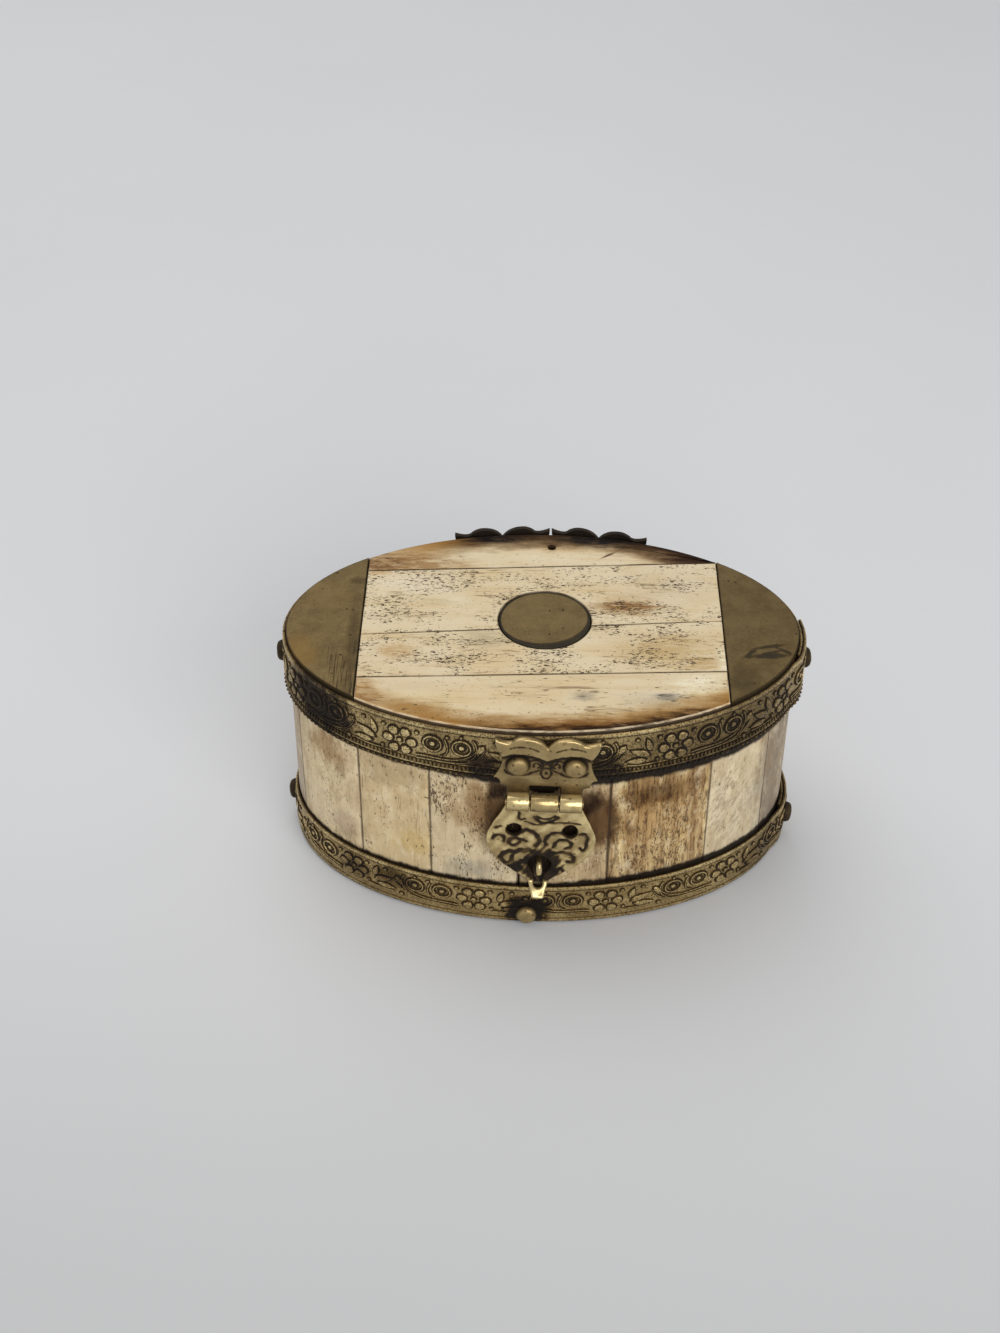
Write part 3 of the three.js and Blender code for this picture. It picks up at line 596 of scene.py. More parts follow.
class Relief:
    # closed raised shapes in strip coordinates, x along, y up, z out, with their feet inside the strip
    def __init__(self, foot):
        self.foot = foot
        self.verts, self.faces, self.polish = [], [], []

    def rings(self, loops, levels, shades, close, over):
        rows = numberRows(len(loops), len(loops[0]), len(self.verts))
        for loop, level, shade in zip(loops, levels, shades):
            self.verts += [(p[0], p[1], level) for p in loop]
            self.polish += [shade] * len(loop)
        self.faces += rowFaces(rows, close, over)
        return rows

    def blob(self, outline, height, shade=1.0, skirt=0.28):
        outline = np.asarray(outline, float)
        middle = outline.mean(0)
        spread = outline - middle
        out = middle + spread * (1 + skirt / np.linalg.norm(spread, axis=1, keepdims=True))
        loops = [out, out, outline, middle + spread * 0.84, middle + spread * 0.5]
        levels = [self.foot, 0.012, 0.02, height * 0.86, height]
        rows = self.rings(loops, levels, [0.32, 0.32, 0.04, shade * 0.92, shade], True, False)
        self.faces += rowFaces([rows[-1], [len(self.verts)] * len(outline)])
        self.faces.append(tuple(rows[0][::-1]))
        self.verts.append((*middle, height * 1.02))
        self.polish.append(shade)

    def line(self, path, width, height, shade=0.9, skirt=0.2, close=False):
        path = np.asarray(path, float)
        ahead = np.roll(path, -1, 0) - np.roll(path, 1, 0) if close else np.gradient(path, axis=0)
        side = np.stack([-ahead[:, 1], ahead[:, 0]], -1)
        side /= np.linalg.norm(side, axis=1, keepdims=True)
        wide = np.broadcast_to(np.asarray(width, float), len(path))[:, None] / 2
        out = wide + skirt
        spans = [-out, -out, -wide, -wide * 0.45, wide * 0.45, wide, out, out]
        levels = [self.foot, 0.01, 0.02, height, height, 0.02, 0.01, self.foot]
        shades = [0.34, 0.34, 0.06, shade, shade, 0.06, 0.34, 0.34]
        rows = self.rings([path - side * span for span in spans][::-1], levels, shades, close, True)
        if not close:
            self.faces += [tuple(row[0] for row in rows), tuple(row[-1] for row in rows[::-1])]


def placed(along, across, x, y, turn):
    c, s = math.cos(turn), math.sin(turn)
    return np.stack([x + along * c - across * s, y + along * s + across * c], -1)


def petal(x, y, turn, length, width):
    angle = turnsOf(12)
    across = width / 2 * np.sin(angle) * (1 + 0.22 * np.cos(angle))
    return placed(length / 2 * np.cos(angle), across, x, y, turn)


def leaf(x, y, turn, length, width, curl):
    t = np.linspace(0, 1, 8)
    half = width / 2 * np.sin(math.pi * t ** 0.75) ** 0.9
    bend = curl * np.sin(math.pi * t / 2) ** 2
    along = np.concatenate([t, t[::-1][1:-1]]) * length
    return placed(along, np.concatenate([bend - half, (bend + half)[::-1][1:-1]]), x, y, turn)


def sweep(points, count=14):
    # smooth line through a few points
    points = np.asarray(points, float)
    t = np.linspace(0, 1, len(points))
    fine = np.linspace(0, 1, count)
    power = np.polyfit(t, points, min(3, len(points) - 1))
    return np.stack([np.polyval(power[:, 0], fine), np.polyval(power[:, 1], fine)], -1)


motif = {
    "tall": 11.2,  # mm, height of the strip that it is drawn for
    "rise": 0.3,  # tops of the petals above the ground
    "foot": -0.17,
    "flowerY": 0.35, "petals": 6, "petalReach": 2.35, "petalLength": 2.15, "petalWidth": 2.0,
    "rings": [(6.5, 1.25), (12.15, 1.25)], "ringRadius": 1.75, "ringWidth": 0.42,
    "leaves": [(-5.0, -0.9, 148, 4.6, 1.7, 0.5), (-4.9, 0.3, 112, 3.4, 1.3, -0.3),
               (-5.6, -1.7, 190, 4.2, 1.4, -0.6), (-9.8, 2.4, 230, 2.6, 1.2, 0.2)],
    "stems": [[(3.2, -2.3), (6.4, -2.0), (9.6, -2.2), (13.2, -0.9), (15.6, 2.2)],
              [(3.4, -3.0), (7.0, -2.75), (11.0, -2.7), (14.4, -1.5), (16.6, 1.6)],
              [(8.9, 2.9), (9.4, 1.2), (9.3, -0.4), (8.0, -1.5)],
              [(14.3, 3.4), (15.0, 1.6), (14.6, -0.4), (13.2, -1.7)],
              [(-9.4, -2.6), (-6.4, -2.9), (-3.4, -2.7)]],
    "dots": [(3.5, 3.1, 0.42), (-3.3, 3.2, 0.42), (-3.6, -2.1, 0.36), (15.1, -2.9, 0.5), (9.4, 3.3, 0.36),
             (-7.6, 3.3, 0.4), (12.1, 3.75, 0.3)],
}
brightest = 0.95  # polish that no part of a band goes past


def makeMotif(name, look, tall, flip, gain):
    relief = Relief(look["foot"])
    rise, reach, middle = look["rise"], look["petalReach"], look["flowerY"]
    for i in range(look["petals"]):
        turn = 2 * math.pi * i / look["petals"]
        x, y = reach * math.cos(turn), middle + reach * math.sin(turn)
        relief.blob(petal(x, y, turn, look["petalLength"], look["petalWidth"]), rise, 0.84)
    relief.blob(disc(0, middle, 0.5), rise * 0.8, 0.8)
    for x, y in look["rings"]:
        relief.line(disc(x, y, look["ringRadius"], 20), look["ringWidth"], rise * 0.85, 0.84, 0.3, close=True)
        relief.blob(disc(x, y, 0.55), rise * 0.7, 0.8, 0.55)
    for x, y, turn, length, width, curl in look["leaves"]:
        relief.blob(leaf(x, y, math.radians(turn), length, width, curl), rise * 0.9, 0.86, 0.22)
    for stem in look["stems"]:
        relief.line(sweep(stem), np.linspace(0.42, 0.22, 14), rise * 0.6, 0.72)
    for x, y, radius in look["dots"]:
        relief.blob(disc(x, y, radius, 8), rise * 0.6, 0.7, 0.2)
    verts = np.array(relief.verts)
    verts[:, :2] *= (flip, tall / look["tall"])
    faces = [face[::-1] for face in relief.faces] if flip < 0 else relief.faces
    return meshPiece(name, verts, faces, polish=np.minimum(np.array(relief.polish) * gain, brightest))


def makeBandTree():
    tree, given, out = startGroup("embossedBand", "Geometry", {
        "Geometry": "Geometry", "Path": "Object", "Section": "Object", "Length": 0.26, "Foot": 0.0,
        "Middle": 0.005, "Start": 0.0, "Pitch": 0.026, "Units": 10, "Bead Pitch": 0.0013,
        "Bead Radius": 0.0004, "Bead Level": 0.0006, "Rib Pitch": 0.0008,
        "Rib Size": (0.0004, 0.001, 0.0003), "Rib Level": 0.002, "Material": "Material"}, ["Geometry"])

    def add(kind, values, output=0, **settings):
        return put(tree, "GeometryNode" + kind, values, output, **settings)

    def vector(**parts):
        return put(tree, "ShaderNodeCombineXYZ", {axis.upper(): value for axis, value in parts.items()})

    def row(pitch, level, count, start, shape):
        values = {"Count": count, "Start Location": vector(x=start, y=level), "Offset": vector(x=pitch)}
        line = add("MeshLine", values, mode="OFFSET")
        return add("RealizeInstances", {0: add("InstanceOnPoints", {"Points": line, "Instance": shape})})

    def trimRow(kind, shape, polish):
        # beads or ribs from end to end
        pitch = given[kind + " Pitch"]
        count = maths("FLOOR", given["Length"] / pitch)
        made = row(pitch, given[kind + " Level"], count, pitch * 0.5, shape)
        values = {"Geometry": made, "Name": "polish", "Value": polish}
        return add("StoreNamedAttribute", values, data_type="FLOAT", domain="POINT")

    def curveOf(piece):
        return add("MeshToCurve", {"Mesh": add("ObjectInfo", {"Object": given[piece]}, "Geometry")})

    units = row(given["Pitch"], given["Middle"], given["Units"], given["Start"], given["Geometry"])
    ball = add("MeshUVSphere", {"Segments": 8, "Rings": 5, "Radius": given["Bead Radius"]})
    bar = add("MeshCube", {"Size": given["Rib Size"]})
    raised = add("JoinGeometry", {0: [units, trimRow("Bead", ball, 0.5), trimRow("Rib", bar, 0.68)]})
    x, y, z = split(add("InputPosition", {}))
    margin = 0.0003
    past = add("AccumulateField", {
        "Value": (x < margin) + (x > given["Length"] - margin),
        "Group ID": add("InputMeshIsland", {}, "Island Index")}, "Total", data_type="FLOAT", domain="POINT")
    # shapes that the ends would cut are left out
    raised = add("DeleteGeometry", {"Geometry": raised, "Selection": past > 0.5}, domain="POINT")
    straight = add("CurvePrimitiveLine", {"End": vector(x=given["Length"])})
    straight = add("ResampleCurve", {"Curve": straight, "Count": 420})
    sheet = add("CurveToMesh", {"Curve": straight, "Profile Curve": curveOf("Section"), "Fill Caps": True})
    flat = add("JoinGeometry", {0: [raised, add("FlipFaces", {"Mesh": sheet})]})
    at = add("SampleCurve", {"Curves": curveOf("Path"), "Length": x}, "Position", mode="LENGTH")
    outward = maths("NORMALIZE", maths("CROSS_PRODUCT", at.also("Tangent"), (0, 0, 1)))
    push = put(tree, "ShaderNodeVectorMath", {0: outward, "Scale": z}, operation="SCALE")
    endTree(out, add("SetPosition", {"Geometry": flat, "Position": at + push + vector(z=y + given["Foot"])}),
            given["Material"])
    return tree


bandLook = {
    "lapStart": -12, "lapTurn": 20, "lapRamp": 8, "lapRise": 0.75,  # degrees and mm, as on the part
    "ground": -0.12,  # mm, face of the strip against the part's own
    "thick": 0.45, "steps": 720,
    "units": 12,
    "pitchCount": 10,  # units in one turn
    "lift": 0.1,
    "bead": {"Pitch": 1.2, "Radius": 0.36, "Level": 0.52}, "rib": {"Pitch": 0.8, "Level": 1.97},
    "ribSize": (0.4, 0.95, 0.36),
    # across the strip: height, rise over the ground and polish, from the foot and down from the top
    "top": [(-1.3, 0, 0.66), (-0.95, 0, 0.3), (-0.8, 0.14, 0.72), (-0.25, 0.14, 0.78), (0, 0.02, 0.6)],
    "lid": {"flowerX": 25.1, "flip": 1, "gain": 1.27, "beaded": True, "border": [
        (0.0, -0.1, 0.1), (0.12, 0.1, 0.24), (1.0, 0.02, 0.14), (1.12, 0.12, 0.74), (1.32, 0.12, 0.74),
        (1.45, 0, 0.25), (2.5, 0, 0.4), (2.6, 0.1, 0.74), (2.78, 0.1, 0.74), (2.9, 0, 0.3), (3.2, 0, 0.66)]},
    "base": {"flowerX": 13.3, "flip": -1, "gain": 1.3, "beaded": False, "border": [
        (0.0, -0.1, 0.3), (0.15, 0.06, 0.66), (0.75, 0.06, 0.7), (0.95, 0, 0.3), (1.2, 0, 0.66)]},
}


def bandPath(a, b, look):
    start = math.radians(look["lapStart"])
    once = start + 2 * math.pi
    angle = np.linspace(start, once + math.radians(look["lapTurn"]), look["steps"])
    climb = smooth(angle, once - math.radians(look["lapRamp"]), once) * look["lapRise"]
    return np.stack([(a + climb) * np.cos(angle), (b + climb) * np.sin(angle), 0 * angle], -1), angle


def makeSection(tall, look, own):
    rows = own["border"] + [(tall * 0.5, 0.03, 0.7)] + [(tall + y, *rest) for y, *rest in look["top"]]
    loop = [(y, look["ground"] + rise, min(shade * own["gain"], brightest)) for y, rise, shade in rows]
    back = look["ground"] - look["thick"]
    loop += [(tall - 0.05, back, 0.2), (0.05, back, 0.2)]
    edges = [(i, (i + 1) % len(loop)) for i in range(len(loop))]
    verts = [(-y, -z, 0) for y, z, shade in loop]
    return meshPiece("bandSection", verts, [], edges=edges, polish=[shade for y, z, shade in loop])


def makeBand(name, node, body, look, own, tree):
    low, high = boxOf(node)
    a, b, tall = -low[0], -low[1], high[2] - low[2]
    points, angle = bandPath(a, b, look)
    length = runOf(points)
    path = meshPiece(name + "Path", points, [], edges=[(i, i + 1) for i in range(len(points) - 1)])
    section = makeSection(tall, look, own)
    pitch = np.interp(angle[0] + 2 * math.pi, angle, length) / look["pitchCount"]
    flower = np.interp(2 * math.pi - math.acos(own["flowerX"] / a), angle, length) % pitch - pitch
    spans = {
        "Length": length[-1], "Foot": low[2], "Middle": tall / 2 + look["lift"], "Start": flower,
        "Pitch": pitch, **{"Bead " + key: size for key, size in look["bead"].items()},
        **{"Rib " + key: size for key, size in look["rib"].items()}}
    if not own["beaded"]:  # a pitch past the length leaves the row out
        spans["Bead Pitch"] = spans["Rib Pitch"] = 1000.0
    piece = makeMotif(name, motif, tall, own["flip"], own["gain"])
    setTree(piece, tree, {
        **{key: size * mm for key, size in spans.items()}, "Units": look["units"], "Path": path,
        "Section": section, "Rib Size": tuple(size * mm for size in look["ribSize"]),
        "Material": bandBrass})
    settle(piece, 50)
    drop(path, section)
    finishPiece(piece, body, "band_brass", node)


bandTree = makeBandTree()
makeBand("lidBandStrip", "lid_band", "lid", bandLook, bandLook["lid"], bandTree)
makeBand("baseBandStrip", "base_band", "box", bandLook, bandLook["base"], bandTree)
print("bands wrapped")


# Side slats: one path for each slat, swept to its thickness and height

slatLook = {
    "outer": (49.85, 30.8), "thick": 2.2, "round": 0.22, "seamBevel": 0.16, "bevelAngle": 60, "steps": 14,
    "slip": 0.05, "slipTurn": 2.4,  # mm and radians, no two slats are quite flush
    "seedStep": 37.0,
    # tone, brown streaks, pores, grey clouds; anticlockwise from the seam right of the hasp
    "own": [
        ((0.61, 0.45, 0.225), 0.85, 0.75, 0.1), ((0.64, 0.55, 0.385), 0.12, 0.15, 0.3),
        ((0.3, 0.25, 0.195), 0.2, 0.1, 0.3), ((0.55, 0.43, 0.27), 0.3, 0.3, 0.2),
        ((0.58, 0.45, 0.27), 0.2, 0.4, 0.1), ((0.5, 0.38, 0.22), 0.5, 0.3, 0.2),
        ((0.57, 0.45, 0.29), 0.2, 0.2, 0.3), ((0.6, 0.48, 0.3), 0.15, 0.5, 0.1),
        ((0.52, 0.4, 0.24), 0.4, 0.3, 0.2), ((0.57, 0.44, 0.27), 0.25, 0.35, 0.2),
        ((0.5, 0.42, 0.33), 0.2, 0.15, 0.5), ((0.8, 0.655, 0.42), 0.16, 0.34, 0.22),
        ((0.65, 0.51, 0.295), 0.1, 0.34, 0.05), ((0.67, 0.555, 0.37), 0.14, 0.85, 0.2),
        ((0.56, 0.43, 0.25), 0.4, 0.45, 0.2)],
    "finish": {
        "poreSize": 0.4, "mottle": 0.5,
        # the dark lines by the bands are painted shadow, with grime
        # metres, from clean to covered
        "footShadeAndGrime": (0.0112, 0.0102), "headShadowAndGrime": (0.0364, 0.0374), "topLevel": (0.03775, 0.03792),
        "grimeAndShadowRagged": 0.0011, "footRight": (-0.012, 0.03, 0.0, 0.0009),
        "headRight": (-0.04, 0.01, -0.0008, 0.0005),
        "tan": (0.42, 0.3, 0.165), "cream": (0.78, 0.67, 0.46), "warm": (0.57, 0.44, 0.25),
        "brown": (0.23, 0.12, 0.045), "grey": (0.38, 0.315, 0.225), "fibre": (0.085, 0.04, 0.012),
        "crack": (0.2, 0.13, 0.07), "pore": (0.07, 0.04, 0.02), "seam": (0.045, 0.026, 0.015),
        "soot": (0.012, 0.007, 0.004), "grimeAndShadow": (0.007, 0.004, 0.003),
        "scraped": [((37, 23), (7, 16), 0.8, (0.35, 0.275, 0.18)),
                    ((-39, 24), (6, 11), 0.3, (0.36, 0.26, 0.17))],
        # dark spots behind the hasp's holes, slot and knuckle: painted shade, with grime
        "hidden": [((-5.0, 25.6), (2.9, 3.0)), ((5.7, 25.2), (2.9, 3.0)), ((0.1, 15.4), (4.0, 6.4)),
                   ((0.7, 36.6), (4.4, 2.6))],
        "stains": [
            ((0.7, 24), (10.5, 12), 0.8, (0.3, 0.19, 0.085)),
            ((-41.5, 33), (4.8, 7), 0.9, (0.31, 0.2, 0.1)),
            ((-38, 15.5), (5, 4.4), 0.65, (0.42, 0.3, 0.19)),
            ((-36.5, 24), (2.2, 6), 0.4, (0.42, 0.3, 0.175)),
            ((-24, 17), (6, 5), 0.6, (0.56, 0.4, 0.17)),
            ((-28, 34), (9, 5), 0.6, (0.42, 0.32, 0.19)),
            ((-15.5, 13), (6, 4), 0.75, (0.42, 0.345, 0.23)),
            ((-14, 30), (6.5, 8), 0.5, (0.38, 0.25, 0.12)),
            ((-9.8, 29), (7, 13), 0.8, (0.28, 0.172, 0.075), 0.6),
            ((-11, 13), (5, 4), 0.6, (0.42, 0.35, 0.24)),
            ((-8.0, 29), (4.2, 9.5), 0.9, (0.17, 0.1, 0.042), 0.5),
            ((-8.2, 35), (3.4, 3.6), 1.0, (0.06, 0.034, 0.013)),
            ((11.6, 26.8), (5.8, 10), 1.2, (0.125, 0.069, 0.027), 0.4),
            ((9.0, 32), (3.4, 5.2), 0.9, (0.08, 0.045, 0.02), 0.5),
            ((11, 14), (6, 5), 0.6, (0.46, 0.35, 0.21)),
            ((25, 16), (9, 8), 0.25, (0.54, 0.38, 0.175)),
            ((21, 25), (9, 9), 0.6, (0.36, 0.215, 0.085)),
            ((46.5, 23), (6, 24), 0.8, (0.34, 0.265, 0.175)),
            ((23, 32.5), (12, 6), 0.72, (0.21, 0.12, 0.045)),
            ((21, 32), (8, 3.4), 0.45, (0.15, 0.085, 0.034)),
            ((15.2, 24), (1.4, 12), 0.6, (0.8, 0.65, 0.4)),
            ((31.6, 18), (2.8, 10), 0.5, (0.8, 0.64, 0.38))],
    },
}


def makeSlatTree():
    tree, given, out = startGroup("slatRing", "Geometry", {
        "Geometry": "Geometry", "Thickness": 0.002, "Height": 0.04, "Rounding": 0.0002,
        "Material": "Material"}, ["Geometry"])

    def add(kind, values, **settings):
        return put(tree, "GeometryNode" + kind, values, **settings)

    paths = add("MeshToCurve", {"Mesh": given["Geometry"]})
    paths = add("SetCurveNormal", {"Curve": paths}, mode="Z_UP")
    board = {"Width": given["Thickness"], "Height": given["Height"]}
    board = add("CurvePrimitiveQuadrilateral", board, mode="RECTANGLE")
    board = add("FilletCurve", {"Curve": board, "Radius": given["Rounding"], "Count": 2}, mode="POLY")
    slats = add("CurveToMesh", {"Curve": paths, "Profile Curve": board, "Fill Caps": True})
    lift = put(tree, "ShaderNodeCombineXYZ", {2: given["Height"] * 0.5})
    endTree(out, add("SetPosition", {"Geometry": slats, "Offset": lift}), given["Material"])
    return tree


def slatSpan(node, a, b):
    verts = nodeVerts(node)
    angle = np.arctan2(verts[:, 1] / b, verts[:, 0] / a)
    middle = math.atan2(np.sin(angle).mean(), np.cos(angle).mean())
    turn = (angle - middle + math.pi) % (2 * math.pi) - math.pi
    return middle + turn.min(), middle + turn.max()


def makeSlats(look):
    names = sorted(node for node in frame["nodes"] if node.startswith("side_slat_"))
    a, b = (side - look["thick"] / 2 for side in look["outer"])
    steps = look["steps"]
    verts, edges, tones, marks, seeds, sides = [], [], [], [], [], []
    for i, (node, (tone, *mark)) in enumerate(zip(names, look["own"])):
        slip = look["slip"] * math.sin(look["slipTurn"] * i)
        row = ovalAt(a + slip, b + slip, np.linspace(*slatSpan(node, a, b), steps))
        run = runOf(row)
        edges += [(k, k + 1) for k in range(len(verts), len(verts) + steps - 1)]
        verts += [(x, y, 0) for x, y in row]
        tones += [(*tone, 1)] * steps
        marks += [mark] * steps
        seeds += [look["seedStep"] * (i + 1)] * steps
        sides += np.minimum(run, run[-1] - run).tolist()
    piece = meshPiece("sideSlats", verts, [], edges=edges, slatTone=tones, slatMarks=marks, slatSeed=seeds,
                      slatSide=sides)
    setTree(piece, makeSlatTree(), {
        "Thickness": look["thick"] * mm, "Height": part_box(names[0])[1][2],
        "Rounding": look["round"] * mm, "Material": slatMaterial("slatBone", look["finish"])})
    bevel = piece.modifiers.new("seamEdges", "BEVEL")
    bevel.width = look["seamBevel"] * mm
    bevel.segments = 2
    bevel.angle_limit = math.radians(look["bevelAngle"])
    settle(piece, 40)
    finishPiece(piece, "box", "slat_bone", *names)


makeSlats(slatLook)
print("slats set")


# Lid face: bone planks, brass end plates and roundel

faceLook = {
    "core": (50.05, 31.0), "chord": 35.3, "gap": 0.2,
    "roundel": (0.5, 2.1, 8.95),  # mm, middle and radius
    "roundelGap": 0.25, "roundelSides": 96, "roundelShades": (0.02, 0.52), "roundelShares": (0.55, 1),
    "roundelDirt": (0.32, 1.5, 72),  # mm all round, mm more on one side, and its turn in degrees
    # mm at mid lid, degrees of skew, cleanness
    "seams": [(19.48, 3.4, 0.0), (-0.35, 4.6, 0.62), (-14.68, 2.6, 0.2)],
    "rimRound": 0.55, "seamRound": 0.1, "brassRound": 0.12, "brassDrop": 0.02, "rimStep": 0.9,
    "foramen": (1.9, 26.2, 0.85, 1.3),  # mm, middle, radius and depth
    "plates": {"right": (0.0, 0.49), "left": (math.pi, 0.5)},  # turn round the oval, polish
    "plateEdge": 0.32, "plateDirt": 0.14, "plankDirt": 0.16, "arcSteps": 90, "chordSteps": 26,
}
ivory = {
    "pale": (0.625, 0.53, 0.365), "warm": (0.575, 0.457, 0.27), "streak": (0.42, 0.26, 0.1),
    # the pale front rim colour is a painted highlight, with wear
    "burnt": (0.3, 0.15, 0.04), "char": (0.03, 0.013, 0.005), "worn": (0.68, 0.55, 0.37),
    "crack": (0.16, 0.1, 0.05), "pore": (0.035, 0.016, 0.006), "seam": (0.045, 0.024, 0.01),
    # the dark colour just over the band is painted shade, with dirt
    "dirt": (0.03, 0.016, 0.008),
    # metres, from clean to covered
    "wearAndHighlightLevel": (0.05033, 0.05022), "wearAndHighlightFront": (-0.005, -0.02), "dirtAndShadeLevel": (0.05002, 0.04988),
}
unburnt = {
    "scorch": 0.0, "scorchReach": 0.05, "scorchSpan": (-40, 40), "charSpan": (-40, 40), "charFall": 3.0,
}
plankLooks = {
    "plank_rear": {
        **ivory, "seed": 11.0, "pores": 0.1, "poreSize": 0.36, "streaks": 0.35, "scorch": 1.0,
        "scorchReach": 0.2, "scorchSpan": (-36, 46), "charSpan": (-24, 44), "charFall": 0.6,
        "stains": [
            ((-27, 19.4), (15, 4.6), 0.8, (0.26, 0.135, 0.045)),
            ((-34, 20.4), (6, 4), 0.75, (0.2, 0.1, 0.032)),
            ((30, 23), (12, 4), 0.9, (0.16, 0.075, 0.026)),
            ((4, 22.5), (14, 2), 0.3, (0.68, 0.58, 0.39)),
            ((-10, 30), (8, 4), 1.0, (0.02, 0.011, 0.006)),
            ((12, 29.6), (10, 4.4), 1.0, (0.02, 0.011, 0.006)),
            ((30, 26), (14, 2.4), 0.9, (0.05, 0.026, 0.014), -22),
            ((13.6, 23.9), (4.4, 0.4), 0.9, (0.1, 0.05, 0.02), 38),
            ((1.9, 26.2), (3.2, 2.2), 0.9, (0.2, 0.09, 0.025)),
            ((1.9, 26.0), (1.7, 1.6), 2.0, (0.012, 0.006, 0.003))]},
    "plank_mid_rear": {
        **ivory, **unburnt, "seed": 47.0, "pores": 0.75, "poreSize": 0.4, "streaks": 0.3,
        "stains": [
            ((-24, 10), (16, 9), 0.6, (0.645, 0.53, 0.36)),
            ((26, 13), (14, 9), 0.6, (0.53, 0.425, 0.28)),
            ((18, 8.5), (8.5, 3), 0.6, (0.42, 0.27, 0.125)),
            ((17, 6.2), (12, 2.8), 1.2, (0.25, 0.13, 0.045)),
            ((-21, 7), (5, 1.6), 0.5, (0.4, 0.3, 0.16)),
            ((-33, 17.5), (4, 2), 0.6, (0.38, 0.21, 0.075))]},
    "plank_mid_front": {
        **ivory, **unburnt, "seed": 83.0, "pores": 0.85, "poreSize": 0.4, "streaks": 0.4,
        "stains": [
            ((-28, -8.5), (5.5, 3.4), 0.7, (0.4, 0.235, 0.09)),
            ((-10.5, -4.5), (7, 4), 0.6, (0.34, 0.275, 0.17)),
            ((24, -6), (15, 6.4), 0.8, (0.45, 0.31, 0.14)),
            ((31, -10.5), (4.5, 2.4), 0.75, (0.37, 0.22, 0.075)),
            ((35.2, -9), (2.4, 6), 0.95, (0.72, 0.63, 0.44))]},
    "plank_front": {
        **ivory, "seed": 121.0, "pores": 0.16, "poreSize": 0.38, "streaks": 0.35, "scorch": 1.0,
        "scorchReach": 0.165, "scorchSpan": (-37, 41), "charSpan": (-18, 36), "charFall": 5.0,
        "stains": [
            ((-33.6, -21), (3.8, 6.4), 1.1, (0.33, 0.185, 0.066)),
            ((7, -28.7), (20, 3.4), 1.1, (0.34, 0.195, 0.068)),
            ((-15, -22), (18, 5), 0.45, (0.58, 0.43, 0.21)),
            ((31, -18), (9, 5), 1.0, (0.7, 0.6, 0.405)),
            ((8, -21.2), (3.4, 2), 0.65, (0.28, 0.23, 0.165)),
            ((7.4, -21), (1.4, 0.6), 0.6, (0.14, 0.1, 0.055)),
            ((9.8, -19.6), (1.0, 0.5), 0.7, (0.14, 0.1, 0.055)),
            ((20, -22), (9, 3), 0.4, (0.4, 0.34, 0.26)),
            ((23.6, -21.2), (3.6, 1.9), 0.75, (0.22, 0.18, 0.135)),
            ((23, -20.4), (1.5, 0.5), 0.8, (0.1, 0.07, 0.04)),
            ((24.6, -22), (1.3, 0.5), 0.8, (0.1, 0.07, 0.04)),
            ((27, -21), (1.2, 0.4), 0.7, (0.12, 0.08, 0.045))]},
}


def slabPiece(name, outline, rounds, levels, material, shades, dirt, shares=(1,)):
    # flat slab, rounded along its upper edge; the edge's shade ends a little way in, where the face's begins
    outline = np.asarray(outline, float)
    before, after = outline - np.roll(outline, 1, 0), np.roll(outline, -1, 0) - outline
    ahead = sum(run / np.linalg.norm(run, axis=1, keepdims=True) for run in (before, after))
    inward = np.stack([-ahead[:, 1], ahead[:, 0]], -1)
    inward /= np.linalg.norm(inward, axis=1, keepdims=True)
    bottom, top = levels
    count = len(outline)
    rounds = np.broadcast_to(np.asarray(rounds, float), count)
    rows = [(outline, np.full(count, bottom))]
    for turn in np.radians((0, 30, 60, 90)):
        moved = outline + inward * rounds[:, None] * (1 - math.cos(turn))
        rows.append((moved, top - rounds * (1 - math.sin(turn))))
    rim, level = rows[-1]
    rows += [(rim + inward * dirt * share, level) for share in shares]
    numbers = numberRows(len(rows), count)
    faces = rowFaces(numbers) + [tuple(numbers[-1]), tuple(numbers[0][::-1])]
    edge, face = shades
    polish = np.concatenate([np.tile(np.broadcast_to(edge, count), len(rows) - 1), np.full(count, face)])
    verts = np.concatenate([np.column_stack(row) for row in rows])
    return meshPiece(name, verts, faces, material, 35, polish=polish)


def plankOutline(look, back, front):
    # anticlockwise from the front left corner; each point with its rounding and shade
    a, b = look["core"]
    reach = look["chord"] - look["gap"] / 2
    rx, ry, rr = look["roundel"]
    rr += look["roundelGap"]
    points = []

    def edge(seam, sign, xs):
        if seam is None:
            points.extend((x, sign * b * math.sqrt(1 - (x / a) ** 2), look["rimRound"], 1.0) for x in xs)
            return
        middle, skew, shade = seam
        slope = math.tan(math.radians(skew))

        def seamY(x):
            return middle + x * slope - sign * look["gap"] / 2

        points.append((xs[0], seamY(xs[0]), look["seamRound"], shade))
        hits = [x for x in np.linspace(xs[0], xs[-1], 4000) if math.hypot(x - rx, seamY(x) - ry) < rr]
        if hits:  # round the roundel, always clockwise
            first, last = (math.atan2(seamY(x) - ry, x - rx) for x in (hits[0], hits[-1]))
            turn = last - first - (2 * math.pi if last > first else 0)
            for angle in np.linspace(first, first + turn, 40):
                points.append((rx + rr * math.cos(angle), ry + rr * math.sin(angle), look["seamRound"], 0.0))
        points.append((xs[-1], seamY(xs[-1]), look["seamRound"], shade))

    xs = np.linspace(-reach, reach, int(2 * reach / look["rimStep"]) + 1)
    edge(front, -1, xs)
    edge(back, 1, -xs)
    points = np.array(points)
    return points[:, :2], points[:, 2], points[:, 3]


